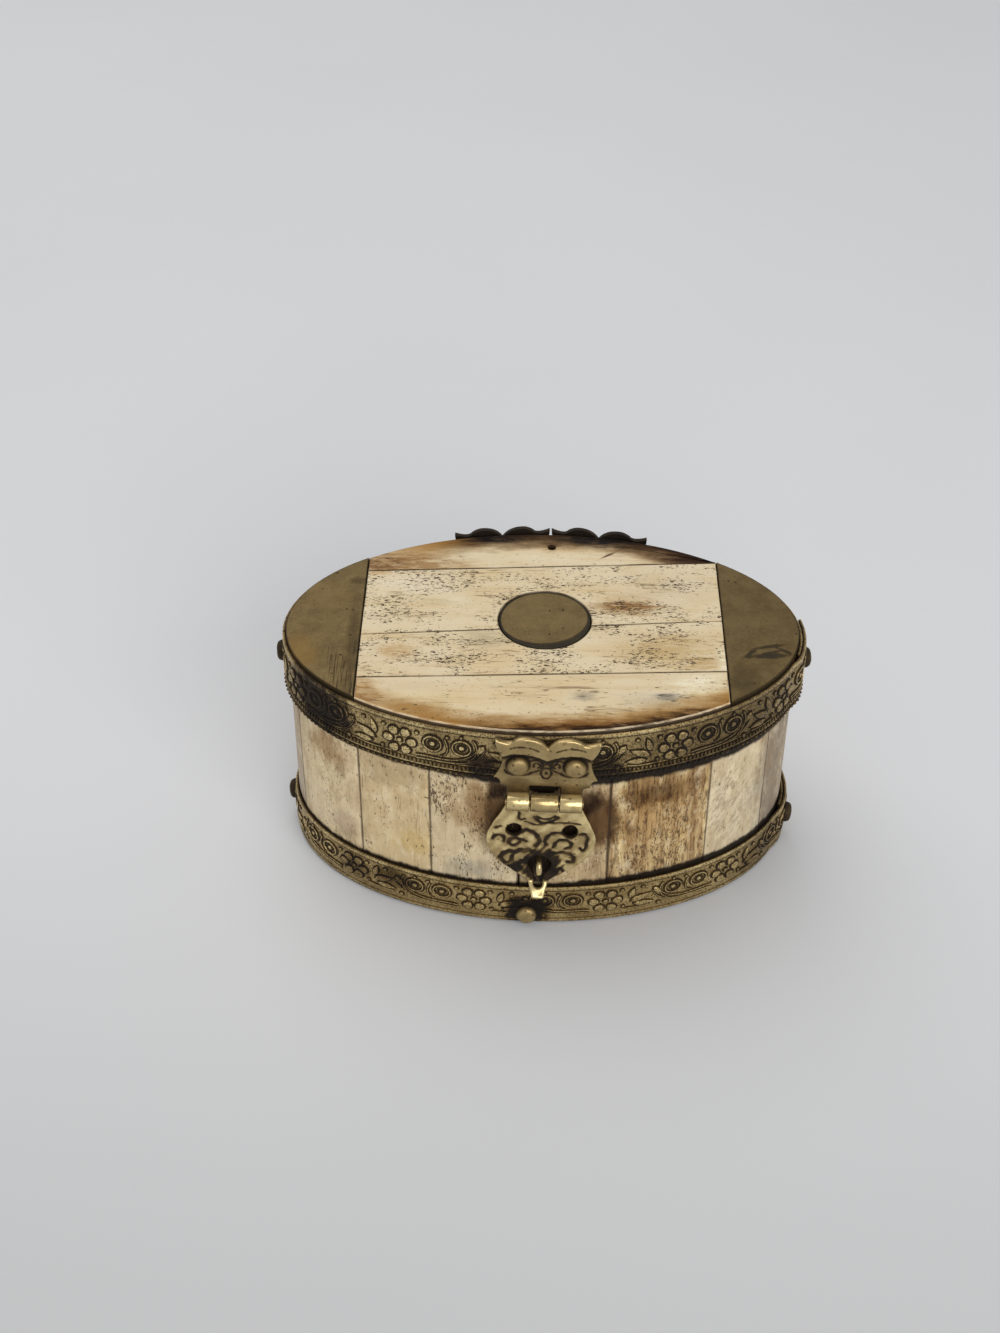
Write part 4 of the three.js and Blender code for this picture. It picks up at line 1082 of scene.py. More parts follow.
def boreForamen(piece, hole, top):
    # small ragged vessel hole
    x, y, radius, depth = hole
    count, wobble, halo = 22, 0.08, 0.5
    uneven = 1 + wobble * np.cos(3 * turnsOf(count))
    ring = (x, y) + (disc(x, y, radius, count) - (x, y)) * uneven[:, None]
    verts = [(*p, level) for level in (top - depth, top + 1) for p in ring]
    rows = numberRows(2, count)
    faces = rowFaces(rows) + [tuple(rows[0][::-1]), tuple(rows[1])]
    drill = meshPiece("drill", verts, faces, piece.data.materials[0], polish=np.ones(len(verts)))
    bore = piece.modifiers.new("bore", "BOOLEAN")
    bore.object = drill
    bore.operation = "DIFFERENCE"
    bore.solver = "EXACT"
    settle(piece, 35)
    drop(drill)
    for vert, shade in zip(piece.data.vertices, piece.data.attributes["polish"].data):
        if math.hypot(vert.co.x * perMetre - x, vert.co.y * perMetre - y) < radius + halo:
            shade.value = 1.0


def makeFace(look):
    a, b = look["core"]
    seams = [None, *look["seams"], None]
    low, top = (corner[2] for corner in boxOf("plank_rear"))
    for i, (node, own) in enumerate(plankLooks.items()):
        outline, rounds, shades = plankOutline(look, seams[i], seams[i + 1])
        name = "bone" + "".join(word.capitalize() for word in node.split("_"))
        bone = plankMaterial(name, own)
        piece = slabPiece(name, outline, rounds, (low, top), bone, (shades, 1.0), look["plankDirt"])
        if node == "plank_rear":
            boreForamen(piece, look["foramen"], top)
        finishPiece(piece, "lid", "plank_bone", node)
    levels = (boxOf("roundel")[0][2], top - look["brassDrop"])
    turn = math.acos((look["chord"] + look["gap"] / 2) / a)
    for side, (middle, shade) in look["plates"].items():
        arc = ovalAt(a, b, np.linspace(middle - turn, middle + turn, look["arcSteps"]))
        chord = np.linspace(arc[-1][1], arc[0][1], look["chordSteps"])[1:-1]
        outline = np.concatenate([arc, np.stack([np.full(len(chord), arc[-1][0]), chord], -1)])
        name = "inlay" + side.capitalize()
        shades = (look["plateEdge"], shade)
        piece = slabPiece(name, outline, look["brassRound"], levels, inlayBrass, shades, look["plateDirt"])
        finishPiece(piece, "lid", "plate_brass", f"end_plate_{side}")
    count = look["roundelSides"]
    thin, more, toward = look["roundelDirt"]
    lower = np.clip(np.cos(turnsOf(count) + math.radians(toward)), 0, 1) ** 1.5
    ring = thin + more * lower[:, None]  # dirt lies thicker along the lower right
    outline = disc(*look["roundel"], count)
    shades, shares = look["roundelShades"], look["roundelShares"]
    piece = slabPiece("inlayRoundel", outline, look["brassRound"], levels, inlayBrass, shades, ring, shares)
    finishPiece(piece, "lid", "plate_brass", "roundel")


makeFace(faceLook)
print("lid face laid")


# Stamped leaves and hasp plate: outline, relief and knuckles

leafLook = {
    "thick": 0.8, "grid": 0.2,
    "knuckleRadius": 1.8, "bore": 0.95, "knuckleLength": 14.2, "middle": 5.2, "endGap": 0.25, "root": 2.2,
    "slotRoot": 3.0, "reach": 14.8, "lobe": 4.2, "notch": 2.1, "ear": 9.8, "earReach": 14.4, "earDip": 0.7,
    "waist": 8.2, "waistReach": 10, "point": 9.7, "pointReach": 4.8, "scallop": 3.0,
    "browRise": 0.4, "browMiddle": 9.6, "browArch": 11.1, "browSide": 10.3, "nailX": 5.3, "nailReach": 8.4,
    "rearX": {"left": -8.3, "right": 11.7}, "rearAxis": (33.7, 36.2), "seat": 0.15,
    # the upper rear leaves darken towards their tops: soot, and painted shade
    "bendSpan": (2.6, 5.2), "rearPaintedShade": 0.85, "soot": (0.72, 0.54), "sootAndShadeSpan": (8.5, 12.0),
    # the knuckles' undersides are painted darker, as shade
    "knuckleEnds": (0.16, 0.05), "knuckleUnderShade": 0.26,
    "knuckleShades": (0.3, 0.5, 0.8, 0.98, 0.98, 0.8, 0.5, 0.2),  # from end to end
    "lidOval": (50.8, 31.75), "boxOval": (49.85, 30.8),
    "strokes": [
        ([(1.6, 12.0), (3.2, 12.7), (5.1, 12.9), (7.0, 12.4)], 0.22),
        ([(1.7, 10.3), (0.0, 9.0), (0.6, 8.3), (1.3, 7.7)], 0.3),
        ([(3.3, 9.2), (1.9, 9.5), (0.9, 8.9), (0.5, 8.2), (1.5, 7.1), (2.9, 6.3)], 0.3),
        ([(2.4, 7.9), (2.0, 8.8), (1.3, 8.4), (1.5, 7.7)], 0.34),
        ([(0.0, 7.7), (0.9, 7.0), (0.8, 5.7), (0.0, 5.1)], 0.3),
        ([(0.0, 6.5), (0.05, 6.3)], 0.5),
        ([(2.7, 6.5), (3.5, 5.9), (5.3, 5.6), (6.8, 6.0), (7.7, 6.8)], 0.34),
    ],
}


def quad(points, control, end, count=7):
    start, control, end = (np.asarray(point, float) for point in (points[-1], control, end))
    for t in np.linspace(0, 1, count)[1:]:
        points.append(tuple((1 - t) ** 2 * start + 2 * t * (1 - t) * control + t * t * end))


def mirrorHalf(points):
    right = np.asarray(points, float)
    left = right[::-1] * (-1, 1)
    return np.concatenate([right, left[(np.abs(left[:, 0]) > 1e-6)]])


def leafOutline(knuckles, look):
    # knuckle side first, then out along the right wing and in to the notch, and the same mirrored
    points = list(knuckles)
    barrel, point, waist = look["knuckleLength"] / 2, look["point"], look["waist"]
    ear, lobe, dip = look["ear"], look["lobe"], look["earDip"]
    scallop, pointReach, waistReach = look["scallop"], look["pointReach"], look["waistReach"]
    earReach, reach = look["earReach"], look["reach"]
    step = (barrel + point) / 2
    quad(points, (barrel, scallop), (step, scallop))
    quad(points, (step, pointReach), (point, pointReach))
    quad(points, (waist, (pointReach + waistReach) / 2), (waist, waistReach))
    quad(points, (ear, (waistReach + earReach) / 2), (ear, earReach))
    quad(points, ((ear + lobe) / 2, earReach - 2 * dip), (lobe * 1.5, reach - dip))
    quad(points, (lobe * 1.25, reach), (lobe, reach))
    quad(points, (lobe / 3, reach), (0, reach - look["notch"]))
    return mirrorHalf(points)


def refine(loop, step):
    loop = np.asarray(loop, float)
    made = []
    for p, q in zip(loop, np.roll(loop, -1, 0)):
        count = max(1, int(round(np.linalg.norm(q - p) / step)))
        made += [p + (q - p) * k / count for k in range(count)]
    return np.array(made)


def inLoop(points, loop):
    inside = np.zeros(len(points), bool)
    x, y = points[:, 0], points[:, 1]
    for (x0, y0), (x1, y1) in zip(loop, np.roll(loop, -1, 0)):
        crosses = (y0 > y) != (y1 > y)
        if y0 != y1:
            inside ^= crosses & (x < (x1 - x0) * (y - y0) / (y1 - y0) + x0)
    return inside


def onSheet(points, loops):
    # inside the outline and outside every hole
    inside = inLoop(points, loops[0])
    for hole in loops[1:]:
        inside &= ~inLoop(points, hole)
    return inside


def farFrom(points, path, close=False):
    path = np.asarray(path, float)
    best = np.full(len(points), 1e9)
    for p, q in zip(path, np.roll(path, -1, 0) if close else path[1:]):
        run = q - p
        t = np.clip(((points - p) @ run) / max(run @ run, 1e-12), 0, 1)
        best = np.minimum(best, np.linalg.norm(points - p - t[:, None] * run, axis=1))
    return best


def stampedSheet(outline, holes, thick, grid, shape):
    # front with relief, flat back and the walls between; shape gives height and polish over the plate
    loops = [refine(loop, grid) for loop in (outline, *holes)]
    low, high = loops[0].min(0), loops[0].max(0)
    gx, gy = np.meshgrid(np.arange(low[0], high[0], grid), np.arange(low[1], high[1], grid))
    gx[1::2] += grid / 2
    inner = np.stack([gx.ravel(), gy.ravel()], -1)
    keep = onSheet(inner, loops)
    points, edges = [], []
    for loop in loops:
        keep &= farFrom(inner, loop, True) > grid * 0.55
        edges += [(len(points) + i, len(points) + (i + 1) % len(loop)) for i in range(len(loop))]
        points += loop.tolist()
    points += inner[keep].tolist()
    made = delaunay_2d_cdt([Vector(p) for p in points], edges, [], 1, 1e-5)
    flat = np.array([tuple(p) for p in made[0]])
    faces = np.array([tuple(f) for f in made[2]])
    faces = faces[onSheet(flat[faces].mean(1), loops)]
    used = np.unique(faces)
    index = np.full(len(flat), -1)
    index[used] = np.arange(len(used))
    flat, faces = flat[used], index[faces]
    rim = np.min([farFrom(flat, loop, True) for loop in loops], 0)
    height, polish = shape(flat, rim)
    count = len(flat)
    verts = np.concatenate([np.column_stack([flat, level]) for level in (thick + height, np.zeros(count))])
    sides = {(face[k], face[(k + 1) % 3]): True for face in faces for k in range(3)}
    walls = [(p, p + count, q + count, q) for p, q in sides if (q, p) not in sides]
    allFaces = [tuple(f) for f in faces] + [tuple(f[::-1] + count) for f in faces] + walls
    return verts, allFaces, np.concatenate([polish, np.full(count, 0.3)])


def barrelMesh(start, end, look, sides=40):
    # knuckle along x with rounded ends and an open bore
    r, bore = look["knuckleRadius"], look["bore"]
    curve, nick = look["knuckleEnds"]
    profile = [(start, bore), (start, r - curve), (start + nick, r - nick), (start + curve, r),
               (end - curve, r), (end - nick, r - nick), (end, r - curve), (end, bore)]
    angle = turnsOf(sides)
    rings = [np.column_stack([np.full(sides, x), ovalAt(size, size, angle)]) for x, size in profile]
    verts = np.concatenate(rings)
    shades = np.repeat(look["knuckleShades"], sides)
    # the underside of each knuckle is darker: painted shade
    paintedUnderShade = np.tile(smooth(-np.sin(angle), -0.35, 0.7), len(profile))
    faces = rowFaces(numberRows(len(profile), sides), over=True)
    return verts, faces, shades - look["knuckleUnderShade"] * paintedUnderShade


def groove(points, strokes):
    # depth of the chased lines, 1 in the middle of a line
    depth = np.zeros(len(points))
    hand = 1 + 0.35 * np.sin(3.1 * points[:, 0] + 1.3) * np.sin(2.7 * points[:, 1] + 0.4)  # uneven stroke
    for path, width in strokes:
        depth = np.maximum(depth, 1 - smooth(farFrom(points, sweep(path, 18)) / (width * hand), 0.45, 0.85))
    return depth


def leafShape(look):
    nail, waist, arch, side = look["nailX"], look["waist"], look["browArch"], look["browSide"]

    def shape(flat, rim):
        x, y = np.abs(flat[:, 0]), np.abs(flat[:, 1])
        brow = np.interp(x, [0, nail / 2, nail, (nail + waist) / 2, waist, 12],
                         [look["browMiddle"], arch - 0.35, arch, arch - 0.2, side, side])
        raised = smooth(y - brow, -0.12, 0.16)
        lines = groove(np.stack([x, y], -1), look["strokes"])
        edge = 1 - smooth(rim, 0.0, 0.34)
        seat = 1 - smooth(np.hypot(x - nail, y - look["nailReach"]), 2.15, 2.6)
        height = look["browRise"] * raised - 0.14 * lines - 0.22 * edge ** 2
        # darker near the knuckle, below 4.4 mm up the leaf: painted shade
        polish = 0.74 + 0.05 * raised - 0.52 * lines + 0.08 * edge * raised - 0.3 * (1 - smooth(y, 2.6, 4.4))
        foot = smooth(brow - y, -0.1, 0.15) * (1 - smooth(brow - y, 0.35, 1.3))  # painted shadow under the brow, with dirt caught there
        eye = smooth(brow - y, 0.0, 0.4) * smooth(y, 5.6, 6.2) * (1 - smooth(x, 7.4, 8.4))
        polish = polish - 0.6 * foot - 0.55 * seat - 0.12 * eye
        warm = 1 - smooth(np.hypot((flat[:, 0] + 4.9) / 3.4, (y - 4.2) / 1.3), 0.3, 1.0)
        return height, np.clip(polish - 0.16 * warm, 0.02, 1)

    return shape


def joinParts(parts):
    verts, faces, shades = [], [], []
    start = 0
    for v, f, s in parts:
        verts.append(v)
        faces += [tuple(int(k) + start for k in face) for face in f]
        shades.append(s)
        start += len(v)
    return np.concatenate(verts), faces, np.concatenate(shades)


def stampPiece(name, parts, body, slot, *nodes):
    verts, faces, shades = joinParts(parts)
    finishPiece(meshPiece(name, verts, faces, stampedBrass, 50, polish=shades), body, slot, *nodes)


def tubePlace(verts, axis, lean=0.0):
    # set on the axis, which may lean a little in the plane of the leaf
    turn = math.radians(lean)
    x, y, z = verts.T
    leant = [x * math.cos(turn) + z * math.sin(turn), y, z * math.cos(turn) - x * math.sin(turn)]
    return np.stack(leant, -1) + np.asarray(axis)


def frontPlace(verts, own, look):
    # leaf coordinates to the front wall: its inner face is a knuckle radius behind the axis
    x, y, z = verts.T
    return tubePlace(np.stack([x, look["knuckleRadius"] - z, y], -1), own["axis"], own["lean"])


def rearPlace(verts, axis, look, oval):
    # the same, turned to the back and pressed to the oval wall
    x = axis[0] - verts[:, 0]
    share = smooth(np.abs(verts[:, 1]), *look["bendSpan"])
    wall = oval[1] * np.sqrt(1 - (x / oval[0]) ** 2) + look["seat"]
    straight = axis[1] - look["knuckleRadius"]
    return np.stack([x, straight + share * (wall - straight) + verts[:, 2], axis[2] + verts[:, 1]], -1)


haspLook = {
    "axis": (0.7, -33.7, 35.0), "lean": 2.2, "grid": 0.16, "knuckleShade": 0.9,
    "radius": 10.4, "drop": 11.5, "shoulder": 35, "flankTurn": 36, "flankFlat": 0.95,
    "holeX": 5.35, "holeY": 8.4, "holeRadius": 1.4, "holeTall": 1.14,
    "lipWidth": 4.1, "lipEnd": 2.5, "lipLength": 3.9, "lipTurn": 50, "lipBend": 0.9,
    "slotMiddle": 17.45, "slotRadius": 2.3, "slotNeck": 0.95, "slotFoot": 22.9,
    "strokes": [
        ([(-4.5, -3.8), (-4.4, -5.4), (-3.5, -5.4)], 0.3),
        ([(-1.6, -5.1), (-0.4, -6.0), (0.6, -6.6), (1.7, -5.7), (2.9, -4.8)], 0.42),
        ([(-1.1, -4.7), (0.5, -5.3), (2.4, -4.5)], 0.3),
        ([(-3.2, -6.2), (-1.3, -6.5), (0.6, -6.9), (2.9, -5.9), (7.2, -6.4)], 0.24),
        ([(-8.8, -8.1), (-7.9, -7.6)], 0.3),
        ([(-3.8, -8.7), (-2.1, -8.6), (-0.9, -9.5), (-0.4, -11.1), (-1.0, -12.3)], 0.55),
        ([(-6.1, -12.0), (-5.8, -10.9), (-4.4, -10.7), (-2.9, -11.3)], 0.5),
        ([(-6.0, -12.1), (-5.0, -12.5), (-4.1, -11.7)], 0.4),
        ([(-9.2, -11.0), (-8.5, -9.9), (-7.4, -10.2), (-7.1, -11.5)], 0.42),
        ([(-7.4, -15.6), (-6.6, -14.5), (-4.7, -14.1), (-2.4, -13.6)], 0.72),
        ([(-7.3, -15.9), (-6.6, -17.2), (-5.6, -16.8), (-5.3, -15.4)], 0.5),
        ([(-6.1, -18.9), (-4.6, -17.6), (-2.7, -16.3)], 0.75),
        ([(1.0, -12.0), (1.0, -10.0), (2.2, -9.0), (4.1, -8.9)], 0.45),
        ([(2.4, -12.5), (3.3, -11.1), (4.7, -10.5), (5.8, -11.2), (5.7, -12.6), (4.8, -12.8)], 0.42),
        ([(7.2, -9.0), (8.4, -9.3), (8.9, -10.9), (8.3, -12.9), (7.7, -12.6)], 0.38),
        ([(2.2, -14.3), (4.4, -14.2), (6.3, -14.4), (6.8, -15.7), (6.0, -16.6), (5.4, -16.1)], 0.48),
        ([(2.8, -19.4), (4.2, -18.3), (4.7, -19.6), (4.1, -20.8)], 0.4),
    ],
}


def splinePoints(points, count):
    # smooth curve through all the points, ends held
    points = np.asarray(points, float)
    made = []
    for k in range(len(points) - 1):
        before, start, end, after = (points[min(max(k + i, 0), len(points) - 1)] for i in (-1, 0, 1, 2))
        v0, v1 = (end - before) / 2, (after - start) / 2
        cubic = 2 * start - 2 * end + v0 + v1
        square = 3 * end - 3 * start - 2 * v0 - v1
        for t in np.linspace(0, 1, count + 1)[1:]:
            made.append(tuple(cubic * t ** 3 + square * t ** 2 + v0 * t + start))
    return made


def haspOutline(look, own):
    half, span, root = look["knuckleLength"] / 2, look["middle"] / 2, look["root"]
    radius, lipWidth, lipEnd = own["radius"], own["lipWidth"], own["lipEnd"]

    def onRim(size, angle):
        return size * math.cos(angle), -own["drop"] + size * math.sin(angle)

    lipRoot = -own["drop"] - math.sqrt(radius ** 2 - (lipWidth / 2) ** 2)
    tip = lipRoot - own["lipLength"]
    points = [(0, 0), (span, 0), (span, -root), (half, -root)]
    for angle in np.linspace(math.radians(own["shoulder"]), -math.radians(own["shoulder"] / 4), 22):
        points.append(onRim(radius + 0.08 * math.sin(angle * 13), angle))  # hand filed edge
    flank = onRim(radius - own["flankFlat"], math.radians(-own["flankTurn"]))
    points += splinePoints([points[-1], flank, (lipWidth / 2, lipRoot)], 12)
    points.append((lipEnd / 2, tip + lipEnd / 4))
    quad(points, (lipEnd / 2, tip), (lipEnd / 4, tip))
    points.append((0, tip))
    return mirrorHalf(points), lipRoot


def slotLoop(own, lipRoot):
    # the foot runs on to the lip, so its flat length is a little more than its drop
    radius, middle, neck = own["slotRadius"], -own["slotMiddle"], own["slotNeck"]
    foot = lipRoot - (own["slotFoot"] + lipRoot) / math.cos(math.radians(own["lipTurn"]))
    eye = np.linspace(math.pi / 2, -math.pi / 6, 14)
    points = [(radius * math.cos(t), middle + radius * math.sin(t)) for t in eye]
    points.append((neck, (middle - own["slotFoot"]) / 2))
    tail = np.linspace(0, -math.pi / 2, 7)
    points += [(neck * math.cos(t), foot + neck + neck * math.sin(t)) for t in tail]
    return mirrorHalf(points)


def haspShape(own, lipRoot):
    def shape(flat, rim):
        x, y = flat[:, 0], flat[:, 1]
        lines = groove(flat, [(path, 1.3 * width) for path, width in own["strokes"]])
        soft = groove(flat, [(path, 2.6 * width) for path, width in own["strokes"]])
        edge = 1 - smooth(rim, 0.0, 0.34)
        wave = 0.5 * np.sin(2.1 * x + 0.7) * np.sin(1.7 * y) + 0.3 * np.sin(4.3 * x - 3.1 * y)
        stain = 1 - smooth(np.hypot(x - 0.5, (y + 17.8) * 0.75) + wave, 2.8, 4.2)
        stain = np.maximum(stain, 1 - smooth(np.hypot((x + 4.8) * 0.6, y + 18.7) + 0.6 * wave, 0.8, 1.7))
        lip = smooth(lipRoot - y, -0.6, 0.5)
        height = 0.1 * np.sin(x * 1.3) * np.sin(y * 1.1) - 0.16 * lines * (1 - lip) - 0.22 * edge ** 2
        patch = 0.05 * np.sin(0.9 * x + 0.6) * np.sin(0.8 * y) + 0.04 * np.sin(2.3 * x - 1.7 * y)
        # the rims of the two holes are dark: painted shade, with tarnish
        ring = np.hypot(np.abs(x) - own["holeX"], (y + own["holeY"]) / own["holeTall"]) - own["holeRadius"]
        polish = 0.92 + patch - 0.1 * soft - (0.62 + 3 * patch) * lines + 0.06 * edge
        polish = polish - 0.84 * stain * (1 - lip) - 0.8 * (1 - smooth(ring, 0.05, 0.3))
        return height, np.clip(np.maximum(polish, 0.96 * lip), 0.0, 1)

    return shape


def haspPlace(verts, own, look, lipRoot):
    # the lip turns outwards in a short bend
    half, radius, turn = look["thick"] / 2, own["lipBend"], math.radians(own["lipTurn"])
    x, y, z = verts[:, 0], verts[:, 1], verts[:, 2] - half
    past = np.clip(lipRoot - y, 0, None)
    bend = np.clip(past / radius, 0, turn)
    rest = np.clip(past - radius * turn, 0, None)
    drop = radius * np.sin(bend) + rest * np.cos(turn)
    out = radius * (1 - np.cos(bend)) + rest * np.sin(turn)
    newY = np.where(past > 0, lipRoot - drop + z * np.sin(bend), y)
    newZ = np.where(past > 0, out + z * np.cos(bend), z)
    return frontPlace(np.stack([x, newY, newZ + half], -1), own, look)


def makeRearLeaves(level, body, sheet, tubes, oval, look):
    flat, faces, polish = sheet
    for side, x in look["rearX"].items():
        axis = (x, *look["rearAxis"])
        parts = [(rearPlace(flat, axis, look, oval), faces, polish)]
        # the rear knuckles are set darker than the front ones: painted shade
        parts += [(tubePlace(v, axis), f, s * look["rearPaintedShade"]) for v, f, s in tubes]
        node = f"hinge_{side}_{level.lower()}_leaf"
        stampPiece("hinge" + level + side.capitalize(), parts, body, "leaf_brass", node)


def makeLeaves(look, own):
    half, span, root, slot = look["knuckleLength"] / 2, look["middle"] / 2, look["root"], look["slotRoot"]
    gap = span + look["endGap"]
    outer = leafOutline([(0, slot), (gap, slot), (gap, 0), (half, 0), (half, root)], look)
    inner = leafOutline([(0, 0), (span, 0), (span, root), (half, root)], look)

    # two knuckles: the hasp's leaf and the upper leaves behind
    flat, faces, polish = stampedSheet(outer, [], look["thick"], look["grid"], leafShape(look))
    tubes = [barrelMesh(*ends, look) for ends in ((-half, -gap), (gap, half))]
    parts = [(frontPlace(flat, own, look), faces, polish)]
    parts += [(tubePlace(v, own["axis"], own["lean"]), f, s) for v, f, s in tubes]
    stampPiece("haspLeafStamped", parts, "lid", "leaf_brass", "hasp_leaf")
    # blackened towards the top: soot where the lid's rim was scorched, and painted shade
    clean, loss = look["soot"]
    sootAndShadePolish = polish * (clean - loss * smooth(flat[:, 1], *look["sootAndShadeSpan"]))
    makeRearLeaves("Upper", "lid", (flat, faces, sootAndShadePolish), tubes, look["lidOval"], look)

    # one knuckle: the lower leaves behind and the hasp's plate
    flat, faces, polish = stampedSheet(inner, [], look["thick"], look["grid"], leafShape(look))
    tubes = [barrelMesh(-span, span, look)]
    # the lower rear leaves are set darker: painted shade
    hanging = (flat * (1, -1, 1), [face[::-1] for face in faces], polish * look["rearPaintedShade"])
    makeRearLeaves("Lower", "box", hanging, tubes, look["boxOval"], look)
    outline, lipRoot = haspOutline(look, own)
    hole = disc(0, 0, own["holeRadius"], 28) * (1, own["holeTall"])
    holes = [hole + (side * own["holeX"], -own["holeY"]) for side in (-1, 1)]
    holes.append(slotLoop(own, lipRoot))
    flat, faces, polish = stampedSheet(outline, holes, look["thick"], own["grid"], haspShape(own, lipRoot))
    parts = [(haspPlace(flat, own, look, lipRoot), faces, polish)]
    parts += [(tubePlace(v, own["axis"], own["lean"]), f, s * own["knuckleShade"]) for v, f, s in tubes]
    stampPiece("haspPlateStamped", parts, "hasp", "leaf_brass", "hasp_plate")


makeLeaves(leafLook, haspLook)
print("leaves stamped")


# Round headed nails, set on points that face outwards

nailLook = {
    "radius": 2.1, "height": 1.4, "sides": 28, "seed": 5,
    "shank": [(0.0, -5.0, 0.3), (0.6, -4.1, 0.3), (0.6, -0.02, 0.1)],  # mm out, mm up, polish
    "dome": [(1.0, 0.0, 0.05), (1.0, 0.16, 0.3), (0.97, 0.36, 0.5), (0.9, 0.62, 0.7), (0.78, 0.81, 0.8),
             (0.56, 0.93, 0.84), (0.28, 0.985, 0.8), (0.0, 1.0, 0.8)],  # shares of radius and height, polish
    "wobble": (0.018, 0.012), "dent": 0.04, "dentLevel": 0.4,
    "endX": 40,  # mm, nails past this are at the ends of the oval
    # nails at the rear and at the ends are painted darker, as shade
    "shades": {"front": 0.95, "rear": 0.6, "end": 0.42},
}


def makeNailTree():
    tree, given, out = startGroup("roundNails", "Geometry", {
        "Geometry": "Geometry", "Head": "Object", "Seed": 0, "Material": "Material"}, ["Geometry"])
    facing = put(tree, "GeometryNodeInputNamedAttribute", {"Name": "facing"}, data_type="FLOAT_VECTOR")
    aim = put(tree, "FunctionNodeAlignRotationToVector", {"Vector": facing}, axis="Z")
    spin = put(tree, "FunctionNodeRandomValue", {"Max": 6.283, "Seed": given["Seed"]}, 1, data_type="FLOAT")
    spun = put(tree, "FunctionNodeAxisAngleToRotation", {"Axis": (0, 0, 1), "Angle": spin})
    turn = {"Rotation": aim, "Rotate By": spun}
    aim = put(tree, "FunctionNodeRotateRotation", turn, rotation_space="LOCAL")
    head = put(tree, "GeometryNodeObjectInfo", {"Object": given["Head"]}, "Geometry")
    nails = {"Points": given["Geometry"], "Instance": head, "Rotation": aim}
    endTree(out, put(tree, "GeometryNodeInstanceOnPoints", nails), given["Material"])
    return tree


def nailHead(look):
    # domed head with a thin flange and the shank below it, a little uneven
    sides = look["sides"]
    angle = turnsOf(sides)
    slow, quick = look["wobble"]
    dome = [(look["radius"] * out, look["height"] * up, shade) for out, up, shade in look["dome"]]
    verts, polish, rows = [], [], []
    for radius, level, shade in look["shank"] + dome:
        start, count = len(verts), sides if radius else 1
        wobble = 1 + slow * np.cos(3 * angle + level) + quick * np.cos(5 * angle)
        dent = look["dent"] * np.cos(2 * angle + 1) * (level > look["dentLevel"] and radius > 0)
        ring = np.column_stack([ovalAt(radius * wobble, radius * wobble, angle), level + dent])
        verts += ring[:count].tolist()
        polish += [shade] * count
        rows.append([start + i % count for i in range(sides)])
    return meshPiece("nailHead", verts, rowFaces(rows), sharp=60, polish=polish)


def nailSeat(node, look):
    # the point and the top of the dome are the two ends of the nail's axis
    verts = nodeVerts(node)
    far = np.linalg.norm(verts[:, None] - verts[None], axis=2)
    ends = verts[list(np.unravel_index(far.argmax(), far.shape))]
    point, top = sorted(ends, key=lambda p: math.hypot(p[0], p[1]))
    facing = (top - point) / np.linalg.norm(top - point)
    return top - facing * look["height"], facing


def makeNails(look):
    tree = makeNailTree()
    head = nailHead(look)
    for body, name in (("box", "nailsOnBox"), ("lid", "nailsOnLid")):
        nodes = sorted(node for node in frame["record"]["behaviour"]["bodies"][body] if "nail" in node)
        seats, facings = zip(*(nailSeat(node, look) for node in nodes))
        places = ["end" if abs(x) > look["endX"] else "rear" if y > 0 else "front" for x, y, _ in seats]
        shades = [look["shades"][place] for place in places]
        piece = meshPiece(name, seats, [], facing=facings, nailShade=shades)
        setTree(piece, tree, {"Head": head, "Seed": look["seed"], "Material": nailBrass})
        settle(piece, 60)
        finishPiece(piece, body, "nail_brass", *nodes)
    drop(head)


makeNails(nailLook)
print("nails set")


# Pins, staple and the wooden carcass

wireLook = {
    "pinRadius": 0.75, "pinHalf": 7.4, "pinEnds": (0.12, 0.2), "pinShade": 0.8,
    "stapleWire": 0.6, "stapleHalf": 1.3, "stapleTip": -33.9, "stapleRoot": -26.45, "stapleZ": 16.6,
    "stapleShades": (0.96, 0.5), "stapleDarkSpan": (-33.6, -32.2),
}


def tubeAlong(path, radius, sides=20):
    # round wire along a path, its ends rounded
    path = np.asarray(path, float)
    ahead = np.gradient(path, axis=0)
    ahead /= np.linalg.norm(ahead, axis=1, keepdims=True)
    level = np.array([1.0, 0, 0]) if abs(ahead[0][0]) < 0.5 else np.array([0, 0, 1.0])
    wide = np.full(len(path), radius)
    wide[[0, -1]] *= 0.7
    verts = []
    for point, forward, size in zip(path, ahead, wide):
        side = np.cross(forward, level)
        side /= np.linalg.norm(side)
        top = np.cross(side, forward)
        verts += [point + size * (side * math.cos(t) + top * math.sin(t)) for t in turnsOf(sides)]
    rows = numberRows(len(path), sides)
    faces = [(face[0], *face[:0:-1]) for face in rowFaces(rows)]  # the rows turn the other way here
    return np.array(verts), faces + [tuple(rows[0]), tuple(rows[-1][::-1])]


def makePins(look):
    half = look["pinHalf"]
    nodes = ("hinge_left_pin", "hinge_right_pin", "hasp_pin")
    tip, rim = look["pinEnds"]
    run = (-half, -half + tip, -half + rim, half - rim, half - tip, half)
    verts, faces = tubeAlong([(x, 0, 0) for x in run], look["pinRadius"])
    shades = np.full(len(verts), look["pinShade"])
    leans = (0.0, 0.0, haspLook["lean"])
    parts = []
    for node, lean in zip(nodes, leans):
        parts.append((tubePlace(verts, sum(boxOf(node)) / 2, lean), faces, shades))
    stampPiece("kneePins", parts, "lid", "wire_brass", *nodes)


